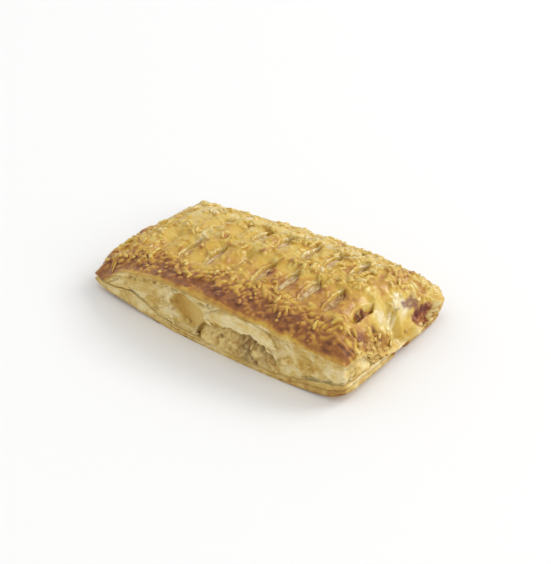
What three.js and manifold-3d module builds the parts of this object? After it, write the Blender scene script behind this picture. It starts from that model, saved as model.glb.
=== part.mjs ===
// A cheese puff pastry: two sheets of puff dough, baked round a cheese filling.
// The upper sheet has three staggered rows of slits, and its strips puff up between them. Shredded cheese
// is baked onto it. Both ends curl off the table. The near long side has risen most, and it has torn open
// above the lower sheet, so that the filling shows there.
// Millimetres: X runs along the pastry, the tall near side faces -Y, and Z is up.

import * as THREE from 'three';
import { mergeVertices } from 'three/addons/utils/BufferGeometryUtils.js';
import Module from 'manifold-3d';

const { clamp, lerp, seededRandom, smoothstep } = THREE.MathUtils;

// Outline of the upper sheet, and how far the lower sheet sticks out below it
const HALF_LENGTH = 68;
const HALF_WIDTH = 37.5;
const CORNER_ROUND = 0.6;
const NEAR_BOW = 3.9;
const FAR_BOW = 1.8;
const BASE_REACH = 2;

// Thickness of the baked sheets, and the gaps that keep the pieces apart
const SHEET_THICK = 3;
const LEAST_RIM = 2;
const GAP = 0.35;
const FILLING_GAP = 0.6;

// The lower sheet rests on two lines across it, and its underside arches a little between them
const REST_LINES = [-0.316, 0.474];
const UNDER_ARCH = 0.08;

// Curves along the pastry: pairs of place, from -1 to 1, and height or thickness
const NEAR_LIFT = [
  [-1, 4.4], [-0.9, 2.5], [-0.65, 1.7], [-0.316, 0], [0.474, 0], [0.7, 0.8], [0.9, 2.2], [1, 5],
];
const FAR_LIFT = [[-1, 5], [-0.7, 1.75], [-0.316, 0], [0.474, 0], [0.8, 0.6], [1, 2]];
const NEAR_BASE = [
  [-1, 1.8], [-0.9, 2.4], [-0.81, 3.6], [-0.66, 6.5], [-0.53, 5.2], [-0.4, 3.2],
  [-0.1, 2.3], [0.5, 2.3], [0.62, 2.8], [0.77, 4.7], [0.87, 5.4], [1, 4],
];
const FAR_BASE = [[-1, 1.8], [-0.75, 2.6], [0, 2.4], [0.85, 2.2], [1, 1.6]];
const NEAR_CRUST = [
  [-1, 10.2], [-0.93, 10.4], [-0.78, 15.6], [-0.6, 20.4], [-0.3, 25],
  [0.05, 26.4], [0.25, 25.8], [0.45, 24.4], [0.8, 22], [1, 19.4],
];
const FAR_CRUST = [[-1, 8], [-0.5, 10.8], [0, 14.5], [0.5, 16.5], [1, 14.5]];
const CROWN = [[-1, 17.5], [-0.65, 22], [0, 27.5], [0.6, 29.3], [1, 29.3]];

// Curves across the two ends: the right end is pinched into two lobes with a valley between them
const LEFT_CRUST = [[-1, 10.2], [-0.75, 13.3], [-0.4, 14], [0.3, 11.4], [1, 8.4]];
const RIGHT_CRUST = [
  [-1, 19.4], [-0.8, 20.4], [-0.62, 19], [-0.45, 15.2], [-0.27, 11.2],
  [-0.1, 9.2], [0.06, 8.6], [0.3, 11], [0.5, 13.4], [1, 14.5],
];

// The top falls from its crown to the crust edge over this distance, and to both long sides
const DOME_RUN = 18;
const DOME_POWER = 2.2;
const NEAR_FALL = 1.5;
const FAR_FALL = 9.2;

// Rows of slits: place and length across the pastry, and each slit's place along it and width
const SLIT_ROWS = [
  {
    y: -14,
    length: 14.5,
    slits: [
      [-45.5, 0.8], [-32.5, 2.2], [-17.5, 3], [-5, 1], [9, 3],
      [21.5, 3.4], [33, 3.6], [45.5, 3], [57.7, 3.2],
    ],
  },
  {
    y: 10.5,
    length: 12,
    slits: [[-34, 1], [-22, 1], [-9.9, 3.2], [1.6, 3], [16.4, 2.6], [28.2, 2.8], [41.5, 2.8]],
  },
  {
    y: 25,
    length: 11,
    slits: [[-33, 1], [-20, 1.2], [-7, 1.4], [5.9, 2.4], [19.4, 2.6], [31.2, 2.6], [45.2, 2.6]],
  },
];
const LEAST_CUT = 1.5;
const SLIT_DIP = 2.2;
const SLIT_DIP_REACH = 2.8;
const SLIT_SIDES = 4;

// The burnt crater at the end of the far lobe
const CRATER = new THREE.Vector3(68.5, 21, 10.9);
const CRATER_SIZE = new THREE.Vector3(4.2, 7, 4.3);

// The torn mouth in the near side: pairs of place in X and height of its upper lip
const MOUTH = [
  [-8.5, 0], [-5.5, 7.2], [-3, 10.2], [0, 12.6], [7, 15.2],
  [17, 16.6], [25, 16.2], [31, 14.4], [34.5, 11], [37.5, 0],
];
const MOUTH_OPEN = [6, 10];

// The smooth hollow in the near side, where a blister has burst
const SCOOP = new THREE.Vector2(-12, 13);
const SCOOP_SIZE = new THREE.Vector2(9, 5.8);
const SCOOP_DEPTH = 3.4;

// Baked layers on the side: shares of its height, and how far each stands out
const WALL_LEVELS = [[0.1, -0.4], [0.26, 0], [0.46, -0.3], [0.76, 0.7]];
const FLAKE_RELIEF = 0.45;
const BASE_LEVELS = [[0.3, 0.75], [0.5, 0.5], [0.74, 1]];
const BASE_EDGES = [0.75, 0.85];

// The rim of the upper sheet is solid, and the filling starts this far inside it
const RIM_SOLID = 4;
const RIM_HOLLOW = 10;
const END_INSET = 12;
const NEAR_INSET = 9;
const FAR_INSET = 8;
const MOUTH_INSET = 3;
const MOUTH_FOOT = 0.6;
const FILLING_SETBACK = 2.5;
const FILLING_STEP = 2.5;

// Cheese shreds: bands across the pastry with place, spread and number, then those on the two ends
const SHRED_BANDS = [[-33, 2.5, 17], [-27, 2.5, 12], [-2, 3, 14], [18.3, 0.8, 7], [33.5, 1.5, 6]];
const SHRED_RUN = 56;
const END_SHREDS = 5;
const END_PLACE = 61;
const SHRED_WIDTH = 1.7;
const SHRED_LENGTHS = [4.5, 9];
const SHRED_BEND = 2.6;
const SHRED_SINK = 0.15;
const SHRED_CLEAR = 2.2;
const SHRED_SEED = 41;

// Grid cells along and across each piece
const SHEET_CELLS = [38, 22];
const BASE_CELLS = [38, 10];
const FILLING_CELLS = [22, 10];

const wasm = await Module();
wasm.setup();

// Height at x of the smooth curve through pairs of place and height, with no bump that the pairs lack.
function curve(pairs, x) {
  const last = pairs.length - 1;
  const slope = (k) => (pairs[k + 1][1] - pairs[k][1]) / (pairs[k + 1][0] - pairs[k][0]);
  const tangent = (k) => {
    if (k === 0) return slope(0);
    if (k === last) return slope(last - 1);
    const before = slope(k - 1);
    const after = slope(k);
    return before * after <= 0 ? 0 : 2 * before * after / (before + after);
  };
  const place = clamp(x, pairs[0][0], pairs[last][0]);
  let k = 0;
  while (k < last - 1 && place > pairs[k + 1][0]) k += 1;
  const width = pairs[k + 1][0] - pairs[k][0];
  const u = (place - pairs[k][0]) / width;
  const rise = u * u * (3 - 2 * u);
  const start = u * (1 - u) * (1 - u) * width;
  const end = u * u * (u - 1) * width;
  return lerp(pairs[k][1], pairs[k + 1][1], rise) + tangent(k) * start + tangent(k + 1) * end;
}

// Place in plan of the point s, t, each from -1 to 1, on the outline grown by reach.
function plan(s, t, reach = 0) {
  const corner = CORNER_ROUND * Math.abs(s) ** 14 * Math.abs(t) ** 8;
  const bow = (1 - s * s) * Math.abs(t) ** 3 * (t < 0 ? -NEAR_BOW : FAR_BOW);
  const x = (HALF_LENGTH + reach) * s - Math.sign(s) * corner;
  const y = (HALF_WIDTH + reach) * t - Math.sign(t) * corner + bow;
  return new THREE.Vector2(x, y);
}

function point(s, t, z, reach = 0) {
  const { x, y } = plan(s, t, reach);
  return new THREE.Vector3(x, y, z);
}

// Distance in from the nearest side.
function inset(s, t) {
  return Math.min(HALF_LENGTH * (1 - Math.abs(s)), HALF_WIDTH * (1 - Math.abs(t)));
}

// Underside of the lower sheet: nearly flat on the table in the middle, curled up at both ends.
function lift(s, t) {
  const [left, right] = REST_LINES;
  const arch = UNDER_ARCH * Math.max(0, 4 * (s - left) * (right - s) / (right - left) ** 2);
  return lerp(curve(NEAR_LIFT, s), curve(FAR_LIFT, s), smoothstep(t, -1, 1)) + arch;
}

function baseTop(s, t) {
  return lift(s, t) + lerp(curve(FAR_BASE, s), curve(NEAR_BASE, s), smoothstep(-t, 0, 0.5));
}

// How open the torn mouth is on both sides of x, from 0 to 1.
function mouthShare(x) {
  const lip = Math.min(curve(MOUTH, x - FILLING_STEP), curve(MOUTH, x + FILLING_STEP));
  return smoothstep(lip, ...MOUTH_OPEN);
}

// Lower rim of the upper sheet: on the lower sheet, or up at the lip of the torn mouth.
function rimLow(s, t) {
  const seam = baseTop(s, t) + GAP;
  const nearness = smoothstep(-t, 0.6, 0.9);
  return lerp(seam, Math.max(seam, curve(MOUTH, HALF_LENGTH * s)), nearness);
}

// Height of the crust edge, blended from the four sides by their distance.
function crustEdge(s, t) {
  const sides = [
    [curve(NEAR_CRUST, s), HALF_WIDTH * (1 + t)],
    [curve(FAR_CRUST, s), HALF_WIDTH * (1 - t)],
    [curve(LEFT_CRUST, t), HALF_LENGTH * (1 + s)],
    [curve(RIGHT_CRUST, t), HALF_LENGTH * (1 - s)],
  ];
  let total = 0;
  let weights = 0;
  for (const [height, distance] of sides) {
    const weight = 1 / (distance * distance + 1e-6);
    total += weight * height;
    weights += weight;
  }
  return Math.max(total / weights, baseTop(s, t) + GAP + LEAST_RIM);
}

// Top of the upper sheet without its slits: a dome that falls to the crust edge.
function dome(s, t) {
  const rim = crustEdge(s, t);
  const crown = curve(CROWN, s) - (t < 0 ? NEAR_FALL : FAR_FALL) * t * t;
  const share = 1 - (1 - clamp(inset(s, t) / DOME_RUN, 0, 1)) ** DOME_POWER;
  return lerp(rim, crown, share);
}

// The strips puff up between the slits, so the top dips along each slit.
function slitDip(x, y) {
  let dip = 0;
  for (const row of SLIT_ROWS) {
    const along = 1 - smoothstep(Math.abs(y - row.y), row.length / 2 - 1, row.length / 2 + 2);
    for (const [place] of row.slits) {
      dip = Math.max(dip, along * Math.exp(-(((x - place) / SLIT_DIP_REACH) ** 2)));
    }
  }
  return SLIT_DIP * dip;
}

function sheetTop(s, t) {
  const { x, y } = plan(s, t);
  return dome(s, t) - slitDip(x, y) * smoothstep(inset(s, t), 0, 4);
}

// Underside of the upper sheet. A setback moves its hollow further in from the rim.
function sheetUnder(s, t, setback = 0) {
  const hollow = smoothstep(inset(s, t) - setback, RIM_SOLID, RIM_HOLLOW);
  return lerp(rimLow(s, t), Math.max(rimLow(s, t), dome(s, t) - SHEET_THICK), hollow);
}

// How far the baked side of the upper sheet stands out at a point of it.
function wallRelief(x, t, z, out) {
  const flakes = FLAKE_RELIEF * Math.sin(0.55 * x + 0.9 * z) * Math.sin(0.23 * x + 1.7);
  const u = (x - SCOOP.x) / SCOOP_SIZE.x;
  const v = (z - SCOOP.y) / SCOOP_SIZE.y;
  const scoop = t === -1 ? SCOOP_DEPTH * Math.exp(-u * u * u * u - v * v) : 0;
  return out + flakes - scoop;
}

// A closed solid between an upper and a lower face, with rings of points down its side.
function gridSolid([columns, rows], upper, lower, levels = []) {
  const points = [];
  const triangles = [];
  const across = columns + 1;
  const place = (i, j) => [2 * i / columns - 1, 2 * j / rows - 1];
  const addFace = (surface) => {
    const first = points.length;
    for (let j = 0; j <= rows; j += 1) {
      for (let i = 0; i <= columns; i += 1) points.push(surface(...place(i, j)));
    }
    return first;
  };
  const top = addFace(upper);
  const bottom = addFace(lower);
  for (let j = 0; j < rows; j += 1) {
    for (let i = 0; i < columns; i += 1) {
      const a = j * across + i;
      const b = a + 1;
      const c = b + across;
      const d = a + across;
      triangles.push(top + a, top + b, top + c, top + a, top + c, top + d);
      triangles.push(bottom + a, bottom + c, bottom + b, bottom + a, bottom + d, bottom + c);
    }
  }
  const edge = [];
  for (let i = 0; i < columns; i += 1) edge.push([i, 0]);
  for (let j = 0; j < rows; j += 1) edge.push([columns, j]);
  for (let i = columns; i > 0; i -= 1) edge.push([i, rows]);
  for (let j = rows; j > 0; j -= 1) edge.push([0, j]);
  const ringOf = (first) => edge.map(([i, j]) => first + j * across + i);
  const rings = [ringOf(top)];
  for (const level of levels) {
    rings.push(edge.map(([i, j]) => points.push(level(...place(i, j))) - 1));
  }
  rings.push(ringOf(bottom));
  for (let k = 0; k + 1 < rings.length; k += 1) {
    edge.forEach((_, e) => {
      const next = (e + 1) % edge.length;
      const [a, b, c, d] = [rings[k][e], rings[k][next], rings[k + 1][next], rings[k + 1][e]];
      triangles.push(a, d, c, a, c, b);
    });
  }
  const geometry = new THREE.BufferGeometry();
  const numbers = points.flatMap((p) => p.toArray());
  geometry.setAttribute('position', new THREE.Float32BufferAttribute(numbers, 3));
  geometry.setIndex(triangles);
  return geometry;
}

// A solid for joining and cutting, from a closed geometry, and back.
function toSolid(geometry) {
  geometry.deleteAttribute('normal');
  geometry.deleteAttribute('uv');
  const merged = mergeVertices(geometry, 1e-4);
  const vertProperties = new Float32Array(merged.attributes.position.array);
  const triVerts = new Uint32Array(merged.index.array);
  return new wasm.Manifold(new wasm.Mesh({ numProp: 3, vertProperties, triVerts }));
}

function toGeometry(solid) {
  const mesh = solid.getMesh();
  const geometry = new THREE.BufferGeometry();
  geometry.setAttribute('position', new THREE.BufferAttribute(new Float32Array(mesh.vertProperties), 3));
  geometry.setIndex(new THREE.BufferAttribute(new Uint32Array(mesh.triVerts), 1));
  return geometry;
}

// A lens-shaped cutter that opens one slit down to the filling.
function slitCutter(x, row, width) {
  const half = row.length / 2;
  const lens = new THREE.Shape();
  lens.moveTo(0, -half);
  lens.quadraticCurveTo(width, 0, 0, half);
  lens.quadraticCurveTo(-width, 0, 0, -half);
  const depth = 2 * SHEET_THICK;
  const cutter = new THREE.ExtrudeGeometry(lens, { depth, bevelEnabled: false, curveSegments: SLIT_SIDES });
  const surface = dome(x / HALF_LENGTH, row.y / HALF_WIDTH);
  return cutter.translate(x, row.y, surface - 1.3 * SHEET_THICK);
}

function craterCutter() {
  const ball = new THREE.SphereGeometry(1, 10, 6);
  return ball.scale(...CRATER_SIZE.toArray()).translate(...CRATER.toArray());
}

function nearSlit(x, y, clear) {
  return SLIT_ROWS.some((row) => Math.abs(y - row.y) < row.length / 2 + clear
    && row.slits.some(([place, width]) => Math.abs(x - place) < width / 2 + clear));
}

// One bent shred of cheese that lies half sunk in the crust.
function shred(x, y, heading, length, bend) {
  const ahead = new THREE.Vector2(Math.cos(heading), Math.sin(heading));
  const aside = new THREE.Vector2(-ahead.y, ahead.x);
  const middle = new THREE.Vector2(x, y);
  const ends = [-0.5, 0.5].map((share) => middle.clone().addScaledVector(ahead, share * length));
  const onCrust = (p) => {
    const s = clamp(p.x / HALF_LENGTH, -0.97, 0.97);
    const t = clamp(p.y / (HALF_WIDTH + NEAR_BOW * (1 - s * s) * (p.y < 0 ? 0.8 : 0)), -0.97, 0.97);
    return new THREE.Vector3(p.x, p.y, sheetTop(s, t) + SHRED_SINK * SHRED_WIDTH);
  };
  const peak = onCrust(middle.clone().addScaledVector(aside, bend));
  const path = new THREE.QuadraticBezierCurve3(onCrust(ends[0]), peak, onCrust(ends[1]));
  const half = SHRED_WIDTH / 2;
  const corners = [[half, 0], [0, half], [-half, 0], [0, -half]];
  const section = new THREE.Shape(corners.map((corner) => new THREE.Vector2(...corner)));
  return new THREE.ExtrudeGeometry(section, { extrudePath: path, steps: 3, bevelEnabled: false });
}

// Shreds spread evenly along each band and over the two ends, clear of the slits.
function shreds() {
  seededRandom(SHRED_SEED);
  const spread = () => 2 * seededRandom() - 1;
  const places = [];
  for (const [y, wander, number] of SHRED_BANDS) {
    for (let k = 0; k < number; k += 1) {
      const x = SHRED_RUN * ((2 * k + 1 + 0.8 * spread()) / number - 1);
      places.push([x, y + wander * spread()]);
    }
  }
  for (const side of [-1, 1]) {
    for (let k = 0; k < END_SHREDS; k += 1) {
      const y = 0.8 * HALF_WIDTH * ((2 * k + 1) / END_SHREDS - 1);
      places.push([side * (END_PLACE + 2 * spread()), y]);
    }
  }
  const pieces = [];
  for (const [x, y] of places) {
    const heading = Math.PI * seededRandom();
    const length = lerp(...SHRED_LENGTHS, seededRandom() ** 2);
    const bend = SHRED_BEND * spread();
    if (!nearSlit(x, y, SHRED_CLEAR)) pieces.push(shred(x, y, heading, length, bend));
  }
  return pieces;
}

function topSheet() {
  const levels = WALL_LEVELS.map(([share, out]) => (s, t) => {
    const z = lerp(sheetTop(s, t), rimLow(s, t), share);
    const { x } = plan(s, t);
    return point(s, t, z, wallRelief(x, t, z, out));
  });
  const upper = (s, t) => point(s, t, sheetTop(s, t));
  const lower = (s, t) => point(s, t, sheetUnder(s, t), BASE_EDGES[0] * BASE_REACH);
  let solid = toSolid(gridSolid(SHEET_CELLS, upper, lower, levels));
  for (const piece of shreds()) solid = solid.add(toSolid(piece));
  for (const row of SLIT_ROWS) {
    for (const [x, width] of row.slits) {
      if (width >= LEAST_CUT) solid = solid.subtract(toSolid(slitCutter(x, row, width)));
    }
  }
  return toGeometry(solid.subtract(toSolid(craterCutter())));
}

// The filling fills the space between the sheets, and comes forward to the torn mouth.
function filling() {
  const end = 1 - END_INSET / HALF_LENGTH;
  const far = 1 - FAR_INSET / HALF_WIDTH;
  const inside = (p, q, front) => {
    const s = p * end;
    const near = lerp(NEAR_INSET, front, mouthShare(HALF_LENGTH * s)) / HALF_WIDTH - 1;
    return [s, lerp(near, far, (q + 1) / 2)];
  };
  const upper = (p, q) => {
    const [s, t] = inside(p, q, MOUTH_INSET);
    const under = [-1, 0, 1].map((k) => sheetUnder(s + k * FILLING_STEP / HALF_LENGTH, t, FILLING_SETBACK));
    return point(s, t, Math.min(...under) - FILLING_GAP);
  };
  const lower = (p, q) => {
    const [s, t] = inside(p, q, MOUTH_FOOT);
    return point(s, t, baseTop(s, t) + FILLING_GAP);
  };
  return gridSolid(FILLING_CELLS, upper, lower);
}

function bottomSheet() {
  const [first, last] = BASE_EDGES.map((share) => share * BASE_REACH);
  const levels = BASE_LEVELS.map(([share, out]) => (s, t) => {
    return point(s, t, lerp(baseTop(s, t), lift(s, t), share), out * BASE_REACH);
  });
  const upper = (s, t) => point(s, t, baseTop(s, t), first);
  const lower = (s, t) => point(s, t, lift(s, t), last);
  return gridSolid(BASE_CELLS, upper, lower, levels);
}

function piece(name, geometry, color, roughness) {
  const mesh = new THREE.Mesh(geometry, new THREE.MeshStandardMaterial({ color, roughness, metalness: 0 }));
  mesh.name = name;
  return mesh;
}

const pastry = new THREE.Group();
pastry.add(piece('top_sheet', topSheet(), 0xc99a45, 0.45));
pastry.add(piece('filling', filling(), 0xcdbb94, 0.6));
pastry.add(piece('bottom_sheet', bottomSheet(), 0xd2b06a, 0.65));

// The long sides bow out unequally, so the pastry is moved to stand centred on its own origin.
pastry.position.y = (NEAR_BOW - FAR_BOW) / 2;

export default pastry;
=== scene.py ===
# %% [markdown]
# # A cheese puff pastry
# The packed solids give the pastry its size and place: a slit upper sheet of puff dough, a cheese filling
# and a thin lower sheet. They are plain, because their job is to rest and collide. This lesson builds the
# baked surface around them: blistered glaze, flaking sides, shredded cheese and the filling that shows.
# Every length below is in millimetres and turned into metres only when a mesh is made.

# %% Load the solids
import math

import bpy
import numpy as np
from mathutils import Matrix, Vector
from mathutils.kdtree import KDTree


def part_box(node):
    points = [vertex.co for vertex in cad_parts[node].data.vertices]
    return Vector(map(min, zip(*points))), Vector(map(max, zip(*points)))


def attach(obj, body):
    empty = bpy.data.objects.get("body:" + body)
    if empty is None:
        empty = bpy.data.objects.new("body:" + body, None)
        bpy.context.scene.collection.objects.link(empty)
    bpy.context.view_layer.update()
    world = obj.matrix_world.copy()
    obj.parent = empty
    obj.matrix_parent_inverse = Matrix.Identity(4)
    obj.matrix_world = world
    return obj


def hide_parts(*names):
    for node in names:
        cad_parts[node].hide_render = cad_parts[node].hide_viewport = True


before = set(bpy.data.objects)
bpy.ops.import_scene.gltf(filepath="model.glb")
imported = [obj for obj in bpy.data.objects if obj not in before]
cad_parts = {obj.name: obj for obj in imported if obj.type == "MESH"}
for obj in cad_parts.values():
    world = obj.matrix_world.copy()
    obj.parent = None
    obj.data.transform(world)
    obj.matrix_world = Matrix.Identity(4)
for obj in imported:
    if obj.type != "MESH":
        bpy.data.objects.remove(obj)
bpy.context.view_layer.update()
MM = 0.001

# %% [markdown]
# ## The outline and the heights
# The two sheets share one outline, a rectangle whose long sides bow out. A point on it has two numbers, s
# along the pastry and t across it, each from -1 to 1. A few heights chosen along each side say how high
# the crust edge stands there, and a smooth curve runs through them. It could also be sculpted by hand,
# but curves through named heights keep the visible surface and the solids in the same place.

# %% Sizes shared with the solids
HALF_LENGTH = 68.0
HALF_WIDTH = 37.5
CORNER_ROUND = 0.6
LOBE_ROUND = 2.4
NEAR_ROUND = 0.9
BACK_ROUND = 1.4
CORNER_POWERS = (14, 8)
NEAR_BOW = 3.9
FAR_BOW = 1.8
BOW_POWER = 3
BASE_REACH = 2.0
RIM_REACH = 1.5
SHEET_THICK = 3.0
GAP = 0.35
LEAST_RIM = 2.0
DOME_RUN = 18.0
DOME_POWER = 2.2
NEAR_FALL = 1.5
FAR_FALL = 9.2

NEAR_LIFT = [(-1, 4.4), (-0.9, 2.5), (-0.65, 1.7), (-0.316, 0), (0.474, 0), (0.7, 0.8), (0.9, 2.2), (1, 5)]
FAR_LIFT = [(-1, 5), (-0.7, 1.75), (-0.316, 0), (0.474, 0), (0.8, 0.6), (1, 2)]
NEAR_BASE = [(-1, 1.8), (-0.9, 2.4), (-0.81, 3.6), (-0.66, 6.5), (-0.53, 5.2), (-0.4, 3.2),
             (-0.1, 2.3), (0.5, 2.3), (0.62, 2.8), (0.77, 4.7), (0.87, 5.4), (1, 4)]
FAR_BASE = [(-1, 1.8), (-0.75, 2.6), (0, 2.4), (0.85, 2.2), (1, 1.6)]
NEAR_CRUST = [(-1, 10.2), (-0.93, 10.4), (-0.78, 15.6), (-0.6, 20.4), (-0.3, 25),
              (0.05, 26.4), (0.25, 25.8), (0.45, 24.4), (0.8, 22), (1, 19.4)]
FAR_CRUST = [(-1, 8), (-0.5, 10.8), (0, 14.5), (0.5, 16.5), (1, 14.5)]
LEFT_CRUST = [(-1, 10.2), (-0.75, 13.3), (-0.4, 14), (0.3, 11.4), (1, 8.4)]
RIGHT_CRUST = [(-1, 19.4), (-0.8, 20.4), (-0.62, 19), (-0.45, 15.2), (-0.27, 11.2), (-0.1, 9.2),
               (0.06, 8.6), (0.3, 11), (0.5, 13.4), (1, 14.5)]
CROWN = [(-1, 17.5), (-0.65, 22), (0, 27.5), (0.6, 29.3), (1, 29.3)]
MOUTH = [(-8.5, 0), (-5.5, 7.2), (-3, 10.2), (0, 12.6), (7, 15.2), (17, 16.6), (25, 16.2), (31, 14.4),
         (34.5, 11), (37.5, 0)]

near_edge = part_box("bottom_sheet")[0].y / MM
SHIFT_Y = near_edge + HALF_WIDTH + BASE_REACH + NEAR_BOW
print("the outline is shifted by", round(SHIFT_Y, 3), "mm in Y to stand where the solids stand")

# %% Curves and easing
def ease(x, low, high):
    """A smooth step from 0 at low to 1 at high."""
    u = np.clip((x - low) / (high - low), 0, 1)
    return u * u * (3 - 2 * u)


def fade(x, low, high):
    """A smooth step from 1 at low to 0 at high."""
    return 1 - ease(x, low, high)


def mix(a, b, share):
    """a where the share is 0, b where it is 1."""
    return a + (b - a) * share


def bell(x, middle, spread):
    """1 at the middle, falling smoothly to nothing beyond about twice the spread."""
    return np.exp(-((x - middle) / spread) ** 2)


def patches(x, y, places):
    """Sum of round patches, each with its middle and spread along, the same across, and its amount."""
    return sum(amount * bell(x, *along) * bell(y, *across) for along, across, amount in places)


def curve(pairs, x):
    """Height at x of the smooth curve through pairs of place and height, with no bump of its own."""
    place, height = np.array(pairs, float).T
    slope = np.diff(height) / np.diff(place)
    product = slope[:-1] * slope[1:]
    total = slope[:-1] + slope[1:]
    inner = np.where(product > 0, 2 * product / np.where(total == 0, 1, total), 0)
    tangent = np.concatenate([slope[:1], inner, slope[-1:]])
    x = np.clip(x, place[0], place[-1])
    k = np.clip(np.searchsorted(place, x, side="right") - 1, 0, len(slope) - 1)
    width = place[k + 1] - place[k]
    u = (x - place[k]) / width
    rise = mix(height[k], height[k + 1], u * u * (3 - 2 * u))
    return rise + width * (tangent[k] * u * (1 - u) ** 2 + tangent[k + 1] * u * u * (u - 1))


print("crown along the pastry:", curve(CROWN, np.linspace(-1, 1, 5)).round(1), "mm")

# %% The outline, the lower sheet and the dome
def plan(s, t, reach=0.0):
    """Place in plan of the point s, t on the outline grown by reach."""
    rounder = ease(s, 0.5, 1) * (LOBE_ROUND * ease(t, 0.5, 1) + NEAR_ROUND * ease(-t, 0.5, 1))
    rounder = rounder + BACK_ROUND * ease(-s, 0.5, 1) * ease(t, 0.5, 1)
    corner = (CORNER_ROUND + rounder) * np.abs(s) ** CORNER_POWERS[0] * np.abs(t) ** CORNER_POWERS[1]
    bow = (1 - s * s) * np.abs(t) ** BOW_POWER * np.where(t < 0, -NEAR_BOW, FAR_BOW)
    x = (HALF_LENGTH + reach) * s - np.sign(s) * corner
    y = (HALF_WIDTH + reach) * t - np.sign(t) * corner + bow
    return x, y


def inset(s, t):
    """Distance in from the outline, in millimetres."""
    return np.minimum(HALF_LENGTH * (1 - np.abs(s)), HALF_WIDTH * (1 - np.abs(t)))


def lift(s, t):
    """Height of the underside, which curls off the table at both ends."""
    return mix(curve(NEAR_LIFT, s), curve(FAR_LIFT, s), ease(t, -1, 1))


def base_top(s, t):
    """Top of the lower sheet."""
    return lift(s, t) + mix(curve(FAR_BASE, s), curve(NEAR_BASE, s), ease(-t, 0, 0.5))


def crust_edge(s, t):
    """Height of the crust edge, blended from the four sides by their distance."""
    sides = [
        (curve(NEAR_CRUST, s), HALF_WIDTH * (1 + t)),
        (curve(FAR_CRUST, s), HALF_WIDTH * (1 - t)),
        (curve(LEFT_CRUST, t), HALF_LENGTH * (1 + s)),
        (curve(RIGHT_CRUST, t), HALF_LENGTH * (1 - s)),
    ]
    weights = [1 / (distance ** 2 + 1e-6) for _, distance in sides]
    height = sum(w * h for w, (h, _) in zip(weights, sides)) / sum(weights)
    return np.maximum(height, base_top(s, t) + GAP + LEAST_RIM)


def dome(s, t):
    """Top of the upper sheet before it was slit."""
    crown = curve(CROWN, s) - np.where(t < 0, NEAR_FALL, FAR_FALL) * t * t
    share = 1 - (1 - np.clip(inset(s, t) / DOME_RUN, 0, 1)) ** DOME_POWER
    return mix(crust_edge(s, t), crown, share)


print("top of the dome", round(float(dome(0.5, 0.0)), 1), "mm")
print("near crust edge", round(float(crust_edge(0.0, -1.0)), 1), "mm")

# %% [markdown]
# ## Noise with a size
# Baked dough is uneven at every scale. Noise textures could shift a finished mesh, but here the shapes
# are worked out before there is a mesh, so the noise is written out too. It comes in three kinds: smooth
# lumps of a given size, plates, which are patches with sharp borders, like flakes of dough, and rice,
# which are half-melted grains of cheese. Their random numbers come from the place itself, by scrambling
# the whole-number coordinates of a lattice, so the result is the same on every run.

# %% Scrambled numbers and lumps
SEED_FACTOR = 1442695041
CELL_FACTOR = 73856093
STIR_FACTOR = 19349663
LAST_FACTOR = 83492791
LARGEST = 0xFFFF


def scramble(cell, seed):
    """Random numbers from 0 to 1, fixed for each lattice cell and seed."""
    mixed = seed * SEED_FACTOR + np.zeros(cell.shape[:-1], np.int64)
    for axis in range(cell.shape[-1]):
        mixed = (mixed ^ (cell[..., axis] * CELL_FACTOR)) * STIR_FACTOR
        mixed = mixed ^ (mixed >> 15)
    mixed = (mixed ^ (mixed >> 13)) * LAST_FACTOR
    return ((mixed >> 7) & LARGEST) / LARGEST


def lumps(points, size, seed):
    """Smooth noise from -1 to 1 whose lumps are about this size, which may differ from axis to axis."""
    q = points / np.asarray(size, float)
    cell = np.floor(q).astype(np.int64)
    f = q - cell
    f = f * f * (3 - 2 * f)
    total = 0.0
    for corner in np.ndindex(*(2,) * points.shape[-1]):
        weight = np.prod(np.where(corner, f, 1 - f), axis=-1)
        total = total + weight * scramble(cell + np.array(corner), seed)
    return 2 * total - 1


def blotches(points, parts):
    """Sum of lumps, each with its amount, size and seed."""
    return sum(amount * lumps(points, size, seed) for amount, size, seed in parts)


print("the same lumps on every run:", lumps(np.array([[1.0, 2.0], [5.0, 3.0]]), 2.6, 1).round(3))

# %% Plates and grains
GRAIN_HALF_LENGTHS = (0.45, 0.95)
GRAIN_HALF_WIDTH = 0.36
GRAIN_BEND = 0.25
GRAIN_ROUND = 0.65


def plates(points, seed):
    """For each point of a plane, its plate's own random number and its distance from the plate's border."""
    cell = np.floor(points).astype(np.int64)
    first = np.full(points.shape[:-1], 9.0)
    second = first.copy()
    number = np.zeros_like(first)
    for step in np.ndindex(3, 3):
        near = cell + np.array(step) - 1
        jitter = np.stack([scramble(near, seed + 11 + axis) for axis in range(2)], -1)
        distance = np.linalg.norm(near + jitter - points, axis=-1)
        closer = distance < first
        second = np.where(closer, first, np.minimum(second, distance))
        number = np.where(closer, scramble(near, seed), number)
        first = np.where(closer, distance, first)
    return number, second - first


def rice(points, cover, size, seed):
    """Height, from 0 to 1, of melted grains on a plane: one to a cell of this size, where cover allows."""
    q = points / size
    cell = np.floor(q).astype(np.int64)
    best = np.zeros(points.shape[:-1])
    for step in np.ndindex(3, 3):
        near = cell + np.array(step) - 1
        lot = [scramble(near, seed + k) for k in range(5)]
        off = q - near - np.stack(lot[:2], -1)
        turn = math.pi * lot[2]
        along = off[..., 0] * np.cos(turn) + off[..., 1] * np.sin(turn)
        across = off[..., 1] * np.cos(turn) - off[..., 0] * np.sin(turn)
        across = across + GRAIN_BEND * along * along
        r = (along / mix(*GRAIN_HALF_LENGTHS, lot[3])) ** 2 + (across / GRAIN_HALF_WIDTH) ** 2
        best = np.maximum(best, np.clip(1 - r, 0, 1) ** GRAIN_ROUND * ease(cover - lot[4], -0.1, 0.1))
    return best


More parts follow.
